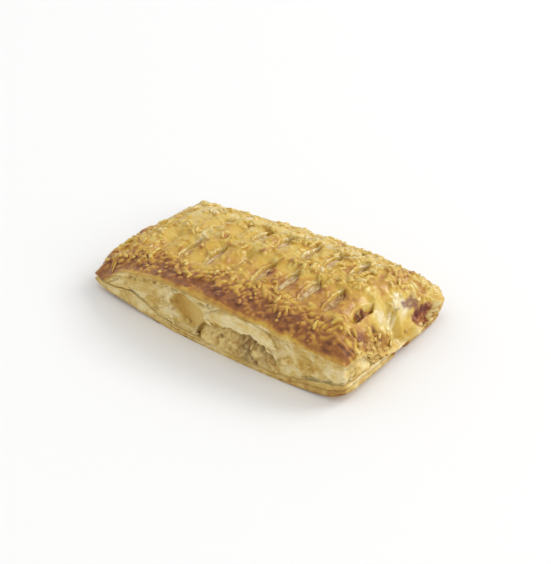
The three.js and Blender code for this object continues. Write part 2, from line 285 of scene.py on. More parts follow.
print("a grain's middle stands up to", rice(np.mgrid[0:9, 0:9].T / 4, 1.0, 1.0, 100).max().round(2))

# %% [markdown]
# ## Skins from rings
# Each sheet is a closed skin. Its edge is a ring of points that runs round the outline, and rings stacked
# from the top, over the edge and back to the middle of the underside make the skin. Rings keep the fine
# points where the flaky edge shows, and spend few on what lies hidden. A small class collects the points,
# the masks that the finishes read later, and the faces. Subdividing a box would spread its points evenly
# instead.

# %% Rings
def at_middle(height):
    """What a function of heights gives at the middle of the pastry."""
    return float(height(np.zeros(1), np.zeros(1))[0])


def outline_ring(columns, rows):
    """Points s, t once round the outline, counter-clockwise from the near left corner."""
    along = np.linspace(-1, 1, columns + 1)
    across = np.linspace(-1, 1, rows + 1)
    s = np.concatenate([along[:-1], np.ones(rows), along[:0:-1], -np.ones(rows)])
    t = np.concatenate([-np.ones(columns), across[:-1], np.ones(columns), across[:0:-1]])
    return s, t


print("a ring round a grid of 4 by 2 has", len(outline_ring(4, 2)[0]), "points")

# %% Skins
class Skin:
    """Points in millimetres, named masks on them, and faces, collected ring by ring."""

    def __init__(self, *masks):
        self.points = []
        self.masks = {mask: [] for mask in masks}
        self.faces = []
        self.count = 0
        self.ring = None

    def add(self, x, y, z, **masks):
        """Adds points and returns their numbers. A mask that isn't given is 0 there."""
        x, y, z = np.broadcast_arrays(x, y, z)
        numbers = self.count + np.arange(x.size).reshape(x.shape)
        self.points.append(np.stack([x.ravel(), y.ravel(), z.ravel()], -1))
        for mask, parts in self.masks.items():
            parts.append(np.broadcast_to(masks.get(mask, 0.0), x.shape).ravel())
        self.count += x.size
        return numbers

    def grid(self, numbers):
        """Faces over a grid of points, whose border becomes the ring to go on from."""
        quads = [numbers[:-1, :-1], numbers[:-1, 1:], numbers[1:, 1:], numbers[1:, :-1]]
        self.faces += np.stack(quads, -1).reshape(-1, 4).tolist()
        border = [numbers[0, :-1], numbers[:-1, -1], numbers[-1, :0:-1], numbers[:0:-1, 0]]
        self.ring = np.concatenate(border)

    def next_ring(self, x, y, z, **masks):
        """Adds a ring and joins it to the one before."""
        ring = self.add(x, y, z, **masks)
        sides = [self.ring, ring, np.roll(ring, -1), np.roll(self.ring, -1)]
        self.faces += np.stack(sides, -1).tolist()
        self.ring = ring

    def open_middle(self, z, **masks):
        """Starts at the middle of the top. The first ring closes round it."""
        self.ring = self.add(np.zeros(1), np.zeros(1), np.full(1, z), **masks)

    def first_ring(self, x, y, z, **masks):
        """Adds the ring that closes round the middle of the top."""
        ring = self.add(x, y, z, **masks)
        middle = np.full(len(ring), self.ring[0])
        self.faces += np.stack([middle, ring, np.roll(ring, -1)], -1).tolist()
        self.ring = ring

    def close_middle(self, z, **masks):
        """Closes the last ring over the middle of the underside."""
        middle = self.add(np.zeros(1), np.zeros(1), np.full(1, z), **masks)
        last = np.full(len(self.ring), middle[0])
        self.faces += np.stack([self.ring, last, np.roll(self.ring, -1)], -1).tolist()

    def piece(self, name):
        """A smooth mesh object, with one attribute for each mask."""
        mesh = bpy.data.meshes.new(name)
        metres = (np.concatenate(self.points) + np.array([0, SHIFT_Y, 0])) * MM
        mesh.from_pydata(metres.tolist(), [], self.faces)
        for mask, parts in self.masks.items():
            attribute = mesh.attributes.new(mask, "FLOAT", "POINT")
            attribute.data.foreach_set("value", np.concatenate(parts).astype(np.float32))
        mesh.shade_smooth()
        result = bpy.data.objects.new(name, mesh)
        bpy.context.scene.collection.objects.link(result)
        print(name, len(mesh.vertices), "points,", sum(len(face) - 2 for face in self.faces), "triangles")
        return result


print("a skin keeps", list(vars(Skin("bake"))))

# %% [markdown]
# ## The slits
# The upper sheet was slit in three staggered rows before baking. Between two slits the strip of dough
# puffs up, steeper on its left than on its right, and the slit opens into a lens. The cut edge on a
# slit's left stands up as a thin pale lip. Each slit below has its place along the row, its width, and
# how brown its filling is. Boolean cutters could open them, as they do in the solids, but a distance from
# each slit also gives the lip, the dip beside it and the shade on its right.

# %% Places and widths of the slits
SLIT_ROWS = [
    (-14, 14.5, [(-45.5, 0.8, 0), (-32.5, 2.2, 0.6), (-17.5, 3, 0.1), (-5, 1, 0), (9, 3, 0.5),
                 (21.5, 3.4, 0.15), (33, 3.6, 0.6), (45.5, 3, 0.9), (57.7, 2.8, 1)]),
    (10.5, 12, [(-34, 1, 0), (-22, 1, 0), (-9.9, 3.2, 0.2), (1.6, 3, 0.4), (16.4, 2.4, 1), (28.2, 2.8, 0),
                (41.5, 2.6, 0.5)]),
    (25, 11, [(-33, 1, 0), (-20, 1.2, 0), (-7, 1.4, 0), (5.9, 2, 0.3), (19.4, 2.6, 0), (31.2, 2.4, 0.3),
              (45.2, 2.2, 0.5)]),
]
LEAST_CUT = 1.5
SLIT_PITCH = 12.8
SLIT_DIP = 2.9
SLIT_DEPTH = 3.2
SLIT_STRETCH = 1.12
STRIP_SKEW = 0.74
STRIP_ROUND = 0.8
LENS_POWER = 3
SLIT_WIDEN = 1.38
SLIT_WANDER_X = (6.0, 3)
SLIT_WANDER_Y = (9.0, 4)
LAST_SLIT_FROM = (50, 55)
LAST_SLIT_IN = 2.6
LIP_HEIGHT = 1.0
LIP_WIDTH = 0.5
print(sum(len(slits) for _, _, slits in SLIT_ROWS), "slits in", len(SLIT_ROWS), "rows")

# %% Distance from the slits
def slit_field(x, y):
    """How far down from a crest (1) to a slit (0) each point is, how many mm from a slit's opening
    and on which side of it, and how brown that slit's filling is."""
    spot = np.stack([x, y], -1)
    x = x + 0.6 * lumps(spot, *SLIT_WANDER_X)
    y = y + 0.9 * lumps(spot, *SLIT_WANDER_Y)
    crest = np.ones_like(x)
    gap = np.full_like(x, 9.0)
    side = np.ones_like(x)
    brown = np.zeros_like(x)
    for row_y, length, slits in SLIT_ROWS:
        row_y = row_y + LAST_SLIT_IN * ease(x, *LAST_SLIT_FROM) * (row_y < 0)
        half = SLIT_STRETCH * length / 2
        places = np.array([place for place, _, _ in slits])
        edges = np.concatenate([[places[0] - SLIT_PITCH], places, [places[-1] + SLIT_PITCH]])
        k = np.searchsorted(places, x)
        share = np.clip((x - edges[k]) / (edges[k + 1] - edges[k]), 0, 1)
        strip = np.sin(np.pi * share ** STRIP_SKEW) ** STRIP_ROUND
        outermost = ((k == 0) & (share < 0.5)) | ((k == len(places)) & (share > 0.4))
        strip = np.where(outermost, 1, strip)
        window = fade(np.abs(y - row_y), half - 1.5, half + 1.8)
        crest = np.minimum(crest, 1 - window * (1 - strip))
        along = np.abs(y - row_y) / half
        for place, width, tone in slits:
            if width < LEAST_CUT:
                continue
            lens = np.abs(x - place) - SLIT_WIDEN * width / 2 * (1 - np.minimum(along, 1) ** LENS_POWER)
            beyond = np.maximum(along - 1, 0) * half
            outside = np.hypot(np.maximum(lens, 0), beyond) + np.minimum(lens, 0) * (beyond == 0)
            side = np.where(outside < gap, np.sign(x - place), side)
            brown = np.where(outside < gap, tone, brown)
            gap = np.minimum(gap, outside)
    return crest, gap, side, brown


print("the middle of the top is", slit_field(np.zeros(1), np.zeros(1))[1].round(1), "mm from a slit")

# %% [markdown]
# ## The glazed top
# The top of the upper sheet is a fine grid of heights. Onto the dome go the puffed strips, the slits with
# their lips, blisters of several sizes, half-melted grains of cheese with fine grit along the near edge,
# the pinched valley at the right end with its stretched cords, a striped tongue of dough at the near
# right tip, a burnt crater in the far lobe and one small hole. Heights alone can't roughen the steep
# right end, so its flakes and bits push the points out along X as well. Masks beside the heights say
# where the cheese lies thickest and what is torn. All this could be sculpted, but in a sum of heights
# each feature can be moved by one number.

# %% Sizes of the top's relief
TOP_COLUMNS = 296
TOP_ROWS = 164
STEEP_FROM = (57, 64)
LAST_CUT_FROM = (50, 54)
EDGE_ROLL = 0.8
EDGE_ROLL_RUN = 2.4
CRATER = np.array([68.0, 20.6, 10.6])
CRATER_HALF_Y = 7.9
CRATER_HALF_UP = 4.1
CRATER_FACES = np.array([0.75, 0.0, 0.66])
CRATER_DEPTH = 3.2
NOTCH_PUSH = 2.6
PIN_HOLE = (63.5, -11.0)
PIN_HOLE_SIZE = 1.5
PIN_HOLE_DEPTH = 2.2
LAST_GRAINS = (1.1, 18)
SCORCH = (16.4, 17.4)
SCORCH_SIZE = (5.6, 4.4)
SCORCH_FALL = 0.42
VALLEY_Y = 1.2
VALLEY_DROP = 3.2
CORDS = (-5.4, -1.6)
CORD_WIDTH = 1.1
CORD_HEIGHT = 1.2
GRAIN_RELIEF = 0.95
END_LUMPS = [(0.4, 2.8, 2), (0.3, 1.3, 5)]
CRATER_LUMPS = (1.6, 50)
CRATER_RIM = [(0.2, 2.6, 21), (0.24, 1.1, 20)]
SCORCH_RIM = [(0.3, 2.2, 24), (0.3, 1.0, 29)]
CHEESE_CLUMPS = [(1, 6.5, 25), (0.5, 3, 26)]
CHEESE_BANDS = [(-28, 6.0, 1.0), (-1.5, 4.6, 0.85), (18, 2.8, 0.8), (34, 5.5, 0.8)]
print("bands of cheese at", [middle for middle, _, _ in CHEESE_BANDS], "mm across")

# %% The crater, the valley and the torn end
def crater_share(x, y, z):
    """1 inside the burnt crater, falling to 0 over its ragged rim, and how deep its bowl is there."""
    spot = np.stack(np.broadcast_arrays(x, y, z), -1)
    upward = CRATER_FACES[0] * (z - CRATER[2]) - CRATER_FACES[2] * (x - CRATER[0])
    r = np.hypot((y - CRATER[1]) / CRATER_HALF_Y, upward / CRATER_HALF_UP)
    burnt = ease(1.05 - r - blotches(spot, CRATER_RIM), 0, 0.3)
    at_end = ease(x, 57, 60)
    return burnt * at_end, ease(1.08 - r, 0, 0.55) * at_end


def scorch_share(x, y, z):
    """1 on the scorched wedge beside the crater."""
    spot = np.stack([x, y, z], -1)
    along = (y - SCORCH[0]) / SCORCH_SIZE[0]
    across = (z - SCORCH[1] + SCORCH_FALL * (y - SCORCH[0])) / SCORCH_SIZE[1]
    r = np.hypot(along, across / np.clip(0.7 + 0.3 * along, 0.3, 1))
    return ease(1 - r - blotches(spot, SCORCH_RIM), 0, 0.3) * ease(x, 59, 61)


def valley(x, y):
    """1 along the bottom of the pinched valley at the right end."""
    return bell(y, VALLEY_Y + 0.2 * (HALF_LENGTH - x), 2.8) * ease(x, 51, 64)


def far_lobe(x, y):
    """1 on the rounded lobe at the far right corner."""
    return ease(x, 54, 66) * ease(y, 3, 10)


def torn_end(x, y):
    """1 where the end of the near lobe has torn into flakes."""
    return ease(x, 61, 65) * bell(y, -15, 11)


print("crater", 2 * CRATER_HALF_Y, "mm wide at", CRATER, "mm")

# %% Where cheese lies
def cheese_cover(x, y, gap):
    """How thickly cheese lies on the top, from 0 to 1."""
    flat = np.stack([x, y], -1)
    cover = 0.3 + 0 * x
    for middle, spread, most in CHEESE_BANDS:
        cover = np.maximum(cover, most * bell(y, middle + 1.5 * lumps(flat, 12, 22), spread))
    cover = np.maximum(cover, 0.8 * ease(-x, 46, 58) * ease(y, -46, -34))
    cover = np.maximum(cover, 0.95 * ease(x, 44, 54) * ease(y, 6, 14))
    clump = 0.75 + 0.6 * lumps(flat, 7.5, 23)
    bare_valley = ease(x, 47, 53) * bell(y, -6, 13)
    bare_lobe = ease(x, 61, 65) * ease(y, 6, 10) * (1 - 0.7 * ease(y, 22, 27))
    bare = np.minimum(bare_valley + bare_lobe, 1)
    return np.clip(cover * clump, 0, 1) * ease(gap, 0.3, 1.3) * (1 - 0.9 * bare)


def shred_cover(x, y, d, cheese, gap):
    """How thickly whole shreds lie, from 0 to 1: in clumps, clear of the slits and of the very edge."""
    flat = np.stack([x, y], -1)
    clump = ease(blotches(flat, CHEESE_CLUMPS), -0.3, 0.35) * mix(0.75, 1.3, bell(x, 24, 26))
    bare = np.where(y < 0, 2.8 - 2.6 * ease(-x, 52, 60), 1.0)
    return cheese * clump * ease(gap, 0.6, 1.8) * ease(d + 1.5 * lumps(flat, 5, 27) - bare, 0, 2.5)


covered = cheese_cover(np.zeros(1), np.zeros(1), SLIT_PITCH)
print("cheese covers", round(100 * float(covered[0])), "% at the middle of the top")

# %% Grains and flakes of the top
def melted_grains(x, y, t, d, cheese, wander):
    """Height of the half-melted grains, with grit along the near edge, and how far in the cheese starts."""
    flat = np.stack([x, y], -1)
    from_near = HALF_WIDTH * (1 + t)
    inward = np.where(t < 0, ease(from_near + wander, 2, 7), 1)
    cover = cheese * mix(0.25, 1, inward)
    grain = np.maximum(rice(flat, cover, 3.1, 100), 0.8 * rice(flat + 31, cover, 2.3, 110))
    gritty = fade(from_near + 1.5 * wander, 7, 13) * ease(d, 0.3, 1.2) * fade(x, 54, 58)
    gritty = gritty * mix(0.3, 0.8, ease(x, 5, 30) + ease(-x, 48, 58))
    grit = 0.45 * rice(flat + 57, gritty, 2.2, 120)
    return np.maximum(grain * mix(0.6, 1, inward), grit), inward


def end_flakes(x, y, d, spot):
    """How far flakes and bits push out on the steep right end, and their masks."""
    upright = spot[..., 1:]
    torn = torn_end(x, y)
    flake, border = plates(upright / np.array([4.2, 2.4]) + 0.3 * lumps(spot, 2, 30)[..., None], 28)
    littered = bell(y, -10, 7) * bell(d, 1.6, 1.8) + 0.8 * ease(y, 15, 19) * ease(d, 0, 0.6) * fade(d, 6, 9)
    bits = rice(upright, littered * ease(x, *STEEP_FROM), 2.6, 130)
    ragged = torn * fade(d + 1.2 * lumps(spot, 2.5, 58), 1.0, 2.8)
    push = torn * (1.8 * (flake - 0.6) - 0.7 * fade(border, 0.05, 0.3)) * ease(d, 0, 1) + 1.1 * bits
    push = push + ease(x, 60, 65) * blotches(spot, END_LUMPS)
    # Painted shade along the borders of the torn flakes.
    crease = 0.8 * ragged * fade(border, 0.04, 0.2)
    return push, dict(bits=bits, flake=torn * (flake - 0.5), flaky=ragged, crease=crease)


TORN_SPOT = np.array([[66.0, -12.0, 14.0]])
pushed, _ = end_flakes(TORN_SPOT[:, 0], TORN_SPOT[:, 1], np.full(1, 2.0), TORN_SPOT)
print("at", TORN_SPOT[0], "a flake stands out by", round(float(pushed[0]), 2), "mm")

# %% Height of the top
def crust_height(s, t):
    """Height of the glazed top, and its masks."""
    x, y = plan(s, t)
    plain = dome(s, t)
    flat = np.stack([x, y], -1)
    spot = np.stack([x, y, plain], -1)
    d = inset(s, t)
    inner = ease(d, 0, 4)
    steep = ease(x, *STEEP_FROM)
    crest, gap, side, _ = slit_field(x, y)
    wander = lumps(flat, 4, 9)
    cheese = cheese_cover(x, y, gap)
    grain, inward = melted_grains(x, y, t, d, cheese, wander)
    bumps = 0.5 * lumps(spot, 8.5, 1) + (0.2 + 0.25 * cheese + 0.25 * steep) * lumps(spot, 2.8, 2)
    bumps = bumps + (mix(0.22, 0.15, inward) + 0.15 * steep) * lumps(spot, 1.3, 5)
    lip = bell(gap, 0.45, LIP_WIDTH) * mix(0.1, 1.0, side < 0) * (1 - 0.5 * ease(x, *LAST_CUT_FROM))
    trench = ease(-gap, -0.2, 0.3)
    roll = EDGE_ROLL * np.clip(1 - d / EDGE_ROLL_RUN, 0, 1) ** 2
    fold = valley(x, y)
    across = y - 1.6 * (HALF_LENGTH - x) + 0.5 * lumps(flat, 6, 8)
    strand = sum(bell(across, cord, CORD_WIDTH) for cord in CORDS) * ease(x, 59, 63) * ease(d, -1, 1)
    z = plain - SLIT_DIP * (1 - crest) * inner + bumps * (0.4 + 0.6 * inner) + GRAIN_RELIEF * grain
    z = z + LIP_HEIGHT * lip * inner - SLIT_DEPTH * trench * inner - roll
    z = z + 0.6 * CORD_HEIGHT * strand - VALLEY_DROP * fold * ease(d, -1, 4)
    burnt, bowl = crater_share(x, y, z)
    push, masks = end_flakes(x, y, d, spot)
    push = push + CORD_HEIGHT * strand - NOTCH_PUSH * fold * fade(d, 1, 9)
    push = push + 0.5 * burnt * lumps(spot, *CRATER_LUMPS)
    hole = ease(1 - np.hypot(x - PIN_HOLE[0], 0.7 * (y - PIN_HOLE[1])) / PIN_HOLE_SIZE, 0, 0.6)
    tongue = ease(x, 53, 60) * fade(HALF_WIDTH * (1 + t) + 1.5 * wander, 5, 9) * ease(d, 0.3, 1.5)
    stripe = tongue * (1 - 3 * np.abs(lumps(flat, (7, 1.5), 67)))
    last = trench * ease(x, *LAST_CUT_FROM)
    z = z - PIN_HOLE_DEPTH * hole + 0.4 * stripe + last * (1.9 + 0.9 * lumps(flat, *LAST_GRAINS))
    sprinkle = 0.35 * (t < 0) * ease(d, 0.8, 2) * fade(d, 8, 12) * fade(x, 52, 55)
    clear = (1 - burnt) * (1 - tongue)
    # dark holds painted shade in the pin hole and the scorched wedge's own colour.
    masks.update(
        d=d, lip=lip, trench=(trench - last) * mix(1, 0.2, side > 0), burnt=burnt, bowl=bowl, fold=fold,
        dark=np.maximum(hole, 0.85 * scorch_share(x, y, plain)), shaded=ease(-gap, -1.1, 0.1) * (side > 0),
        cheese=np.maximum(cheese ** 2, sprinkle) * clear, strewn=shred_cover(x, y, d, cheese, gap) * clear,
        tongue=tongue, stripe=stripe, last=last, grain=grain, gap=gap, strand=strand, spot=spot, push=push)
    return z, masks


MIDDLE = np.zeros((1, 1))
middle_height, middle_masks = crust_height(MIDDLE, MIDDLE)
print("the top's middle is", round(float(middle_height[0, 0]), 1), "mm high")

# %% [markdown]
# ## Browning
# The heat browned the near edge, the left corner and the right tip most, and left the middle golden and
# the far side paler. The colours could be painted on by hand, but here each point gets one number, the
# bake, which the finishes turn into colour later. A band along the near edge, a few round patches where
# the oven worked unevenly, one of them a painted highlight, and the relief itself raise or lower it:
# cheese and lips stay pale, and what lies between the grains is darker, partly browner and partly painted
# shade. Painted shade also darkens the right side of each slit, and a painted highlight lightens the far
# lobe beside the valley.

# %% Where the edge browned
BROWN_LOW = [(-68, 7), (-65, 5.5), (-61, 2), (-53, -1.0), (-39, -0.8), (-27, -0.5), (-15, 0), (-4, 1.1),
             (7, 1.5), (17, 1.5), (23, 0.4), (29, -0.8), (37, -0.3), (50, 0), (56, 0.7), (64, 1), (68, 0.4)]
BROWN_WIDE = [(-68, 20), (-56, 19), (-46, 24), (-34, 17), (-10, 14.5), (30, 17), (50, 17), (68, 12)]
BROWN_WANDER = [(2.4, 7, 51), (1.6, 2.5, 52)]


def near_brown(s, t, x, y):
    """Where the near edge, the left corner and the right tip took most heat, from 0 to 1."""
    flat = np.stack([x, y], -1)
    wander = blotches(flat, BROWN_WANDER)
    from_near = HALF_WIDTH * (1 + t)
    start = np.maximum(-curve(BROWN_LOW, x), 0)
    band = ease(from_near - start, -0.5, 0.7) * fade(from_near + wander, 5, curve(BROWN_WIDE, x))
    left = fade(HALF_LENGTH * (1 + s) + wander, 2, 22) * fade(from_near + wander, 5, 20)
    return np.maximum(band, 0.9 * left)


browned = near_brown(np.zeros(1), np.full(1, -0.8), np.zeros(1), np.full(1, -30.0))
print("30 mm before the middle line the top is browned by", browned.round(2))

# %% How far the top is baked
SINGED_END = (-9, 7)
SINGE = (1.9, 66)
GOLDEN = 0.5
MOTTLE = [(0.06, 11, 53), (0.08, 4, 54), (0.07, 1.8, 55)]
# Round patches that baked paler or browner. The one at 62 along and -3.5 across is a painted highlight on the
# near lobe's shoulder.
TONE_AND_HIGHLIGHT_PATCHES = [
    ((34, 30), (-15, 7), 0.17), ((-34, 4), (-4, 4.5), -0.32), ((22, 8), (-5, 4.5), -0.14),
    ((-46, 7), (-27, 6), 0.11), ((54, 4), (-11, 7), 0.06), ((-57, 5), (-28, 6), -0.1),
    ((-3, 6), (-5, 5), -0.06), ((37, 6), (6, 5), 0.07), ((-28, 8), (-36, 5), -0.04),
    ((62, 3.2), (-3.5, 5.5), -0.33), ((64.6, 2.2), (24, 3.4), 0.34),
]
# How the relief moves the bake; shaded is painted shade on the right side of each slit.
RELIEF_TONES = {"shaded": 0.24, "lip": -0.28, "fold": -0.06, "strand": -0.3, "tongue": 0.2, "stripe": -0.16,
                "bits": -0.2}


def bake_top(s, t, masks):
    """Bake of the glazed top: 0 is pale dough, 0.5 golden, 1 dark brown, with painted shade and painted
    highlights in it.
    """
    x, y = plan(s, t)
    flat = np.stack([x, y], -1)
    spot = masks["spot"]
    grain = masks["grain"]
    brown = near_brown(s, t, x, y)
    heat = (0.22 + 0.11 * bell(x, 0, 23) + 0.07 * bell(x, 36, 9)) * (1 + 0.25 * lumps(flat, 1.5, 59))
    heat = heat + 0.03 * ease(-x, 46, 56)
    cooler = 0.1 * ease(y, -20, 30) + 0.05 * ease(-x, 20, 45) * ease(y, 0, 25)
    before_lobe = 0.17 * ease(x, 48, 54) * fade(x, 57, 60) * ease(y, 0, 6)
    # A painted highlight on the far lobe's glossy face beside the valley.
    white = bell(y, 10.8, 3.2) * ease(x, 58.5, 61.5) * fade(x, 65, 67) * (0.4 + 0.2 * lumps(spot, 2.0, 68))
    torn_edge = 0.3 * bell(y, -22, 4.5)
    bake = GOLDEN + blotches(spot, MOTTLE) + patches(x, y, TONE_AND_HIGHLIGHT_PATCHES) + brown * heat - cooler
    bake = bake + before_lobe + torn_edge * ease(x, 60, 64) + 0.04 * far_lobe(x, y) - white
    spots = 0.2 * ease(lumps(flat, 4, 56), 0.0, 0.5) * fade(masks["gap"], 0.6, 4.0) * fade(x, 52, 57)
    # Between the grains the crust is darker, partly browner and partly painted shade; the grains themselves
    # are paler.
    browned_and_shaded_crevice = 0.22 * masks["cheese"] * fade(grain, 0, 0.4) - (0.13 + 0.12 * brown) * grain
    toasted = 0.24 * grain * ease(lumps(flat, 2.6, 57), 0.15, 0.5) * ease(y, -24, -14)
    crumbs = 0.44 * bell(y, *SINGED_END) * bell(masks["d"], 1.0, 1.5) * ease(x, 60, 63)
    last = masks["last"] * (0.38 * ease(-masks["gap"], 0.1, 0.7) - 0.1 + 0.36 * lumps(flat, *LAST_GRAINS))
    bake = bake + spots + browned_and_shaded_crevice + toasted + crumbs + last
    bake = bake + sum(amount * masks[mask] for mask, amount in RELIEF_TONES.items())
    ragged = 0.4 - 0.3 * masks["flake"] + torn_edge
    ragged = ragged + 0.3 * ease(lumps(spot, *SINGE), 0.05, 0.4) * bell(y, *SINGED_END)
    return np.clip(mix(bake, ragged, 0.85 * masks["flaky"]), 0.0, 1)


middle_bake = bake_top(MIDDLE, MIDDLE, middle_masks)
print("bake at the middle of the top:", round(float(middle_bake[0, 0]), 2))

# %% [markdown]
# ## The flaky side
# Below the crust edge the side is a stack of rings. Each ring is pushed in or out to make what the side
# shows: the roll of the brown edge, a row of fine pores, thin torn layers, the smooth hollow of a burst
# blister, a pale flap that tore away above the open mouth, and the burnt crater at the right end. The
# layers run along the edge, so their noise is stretched along it and read by depth under the edge. At its
# foot the side spreads to meet the lower sheet. Towards the right the layers give way to upright folds.
# Under the last slit the sheet is thicker, so that no hollow shows through it.

# %% Sizes of the side's relief
WALL_RINGS = 42
UNDER_RINGS = [0.985, 0.96, 0.92, 0.86, 0.78, 0.5]
SCOOP = (-11.5, 13.2)
SCOOP_SIZE = (10.6, 6.2)
SCOOP_DEPTH = 2.8
FLAP_CRACK = [(-4, 12), (-1.8, 9.5), (2, 6.8), (6.5, 4.4), (14.5, 2.4), (22, 1.8), (28, 2.1), (32.3, 3.8),
              (34.5, 7), (36, 11)]
FLAP_OUT = 0.9
AMBER_LOW = [(-68, 9), (-64, 7), (-58, 1.8), (-50, 0.7), (-40, 1.0), (-27, 1.5), (-15, 2.4), (-4, 3.8),
             (4, 3.6), (10, 2.4), (16, 2.0), (23, 1.3), (36, 0.9), (50, 0.8), (56, 0.2), (66, 0.2), (68, 0.8)]
END_AMBER = 0.6
END_THICKER = 4.0
LOBE_PUFF = 3.6
NUBS = [(19.2, 7.2, 1.3), (24.9, 8.0, 1.3), (24.2, 5.8, 1.3), (27.4, 12, 1.3), (26.6, 9.6, 1.1),
        (10.9, 8.2, 1.4), (13.8, 7.4, 1.2)]
NEAR_RIGHT = (34, 40)
PUSH_FADE = 1.5
LIP_RAGS = [(0.8, 2.3, 31), (0.5, 0.9, 32)]
WALL_FOLDS = [(1.1, 6, 40), (0.7, 2.6, 38)]
LOBE_LUMPS = [(0.35, 2.8, 2), (0.3, 1.3, 5)]
DEPTH_WANDER = [(0.6, 4, 61), (0.4, 1.2, 63)]
FLECKS = [(0.13, 5, 62), (0.1, 1.4, 65)]
BROKEN_TONES = [(0.16, 2.6, 38), (0.14, 6, 40), (0.1, 1.2, 37)]
print("mouth", round(float(curve(MOUTH, 17.0)), 1), "mm high at its middle")

# %% The lower rim, the blister and the nubs
def rim_low(s, t):
    """Lower rim of the upper sheet: on the lower sheet, or at the ragged lip of the torn mouth."""
    x = HALF_LENGTH * s
    seam = base_top(s, t) + GAP
    ragged = blotches(np.stack([x], -1), LIP_RAGS)
    lip = curve(MOUTH, x) + ragged * ease(curve(MOUTH, x), 5, 9)
    return mix(seam, np.maximum(seam, lip), ease(-t, 0.6, 0.9))


def sheet_under(s, t, setback=0.0):
    """Underside of the upper sheet."""
    low = rim_low(s, t)
    hollow = ease(inset(s, t) - setback, 4, 10)
    thick = SHEET_THICK + END_THICKER * ease(HALF_LENGTH * s, 46, 53)
    return mix(low, np.maximum(low, dome(s, t) - thick), hollow)


def blister(x, z):
    """The burst blister in the near side: inside its outline, towards its left, and along its raised rim."""
    u = (x + 0.4 * (z - SCOOP[1]) - SCOOP[0]) / SCOOP_SIZE[0]
    v = (z - SCOOP[1]) / SCOOP_SIZE[1]
    r = (np.abs(u) ** 2.2 + np.abs(v) ** 2.2) ** (1 / 2.2) + 0.06 * lumps(np.stack([x, z], -1), 2.5, 46)
    return ease(1 - r, 0, 0.08), fade(u, -0.85, 0.6), bell(r, 1.08, 0.08) * ease(-u, 0.1, 0.6)


def nub_share(y, z):
    """Pale nubs on the right end: 1 in the middle of each."""
    share = 0 * y
    for middle, height, size in NUBS:
        r = ((y - middle) ** 2 + (z - height) ** 2) / size ** 2
        share = np.maximum(share, np.sqrt(np.clip(1 - r, 0, 1)))
    return share


torn_lip = rim_low(np.full(1, 0.25), -np.ones(1))
print("the torn lip is", round(float(torn_lip[0]), 1), "mm high above the middle of the mouth")

# %% Torn layers and the flap
def torn_layers(x, y, z, below, near, end):
    """Thin layers of the side: how far they stand out, where they crease, and how pale they are."""
    spot = np.stack([x, y, z], -1)
    right = near * ease(x, 30, 38)
    tip = near * ease(-x, 42, 52)
    depth = below + 0.9 * lumps(spot, 7, 41) + 0.2 * near * np.maximum(x - 36, 0)
    sheet = np.stack([x + y, depth], -1)
    layer = lumps(sheet, (12, 1.4), 42)
    broad, border = plates(sheet / np.array([9.0, 3.4]), 44)
    plate_edge = mix(0.5, 0.15, right) * fade(border, 0.02, 0.1)
    broken = ease(lumps(sheet, (6, 3), 45), -0.1, 0.4) * (1 - tip) * mix(1, 0.5, np.maximum(end, right))
    crease = broken * np.maximum(fade(np.abs(layer), 0.02, 0.14), plate_edge)
    out = 0.7 * layer + 0.4 * lumps(sheet, (5, 0.7), 43) + 0.9 * (broad - 0.5) - 0.5 * crease
    out = out + 0.8 * near * ease(x, 48, 54) * lumps(np.stack([x, z], -1), (2.4, 6), 36)
    out = out + near * ease(x, *NEAR_RIGHT) * (blotches(spot, WALL_FOLDS) - 0.6)
    return out * (1 - 0.7 * tip), crease, 0.5 * layer + broad


def torn_flap(x, below, near):
    """The pale flap above the mouth, and the crack along its upper border."""
    crack = curve(FLAP_CRACK, x)
    torn = near * ease(x, -3.5, -1.5) * fade(x, 34.5, 36)
    flap = torn * ease(below - crack, 0, 0.9) * mix(0.3, 1, ease(x, -1, 7))
    return flap, torn * bell(below, crack - 0.1, 0.4)


print("crack above the flap:", curve(FLAP_CRACK, np.array([0.0, 14.0, 28.0])).round(1), "mm under the edge")

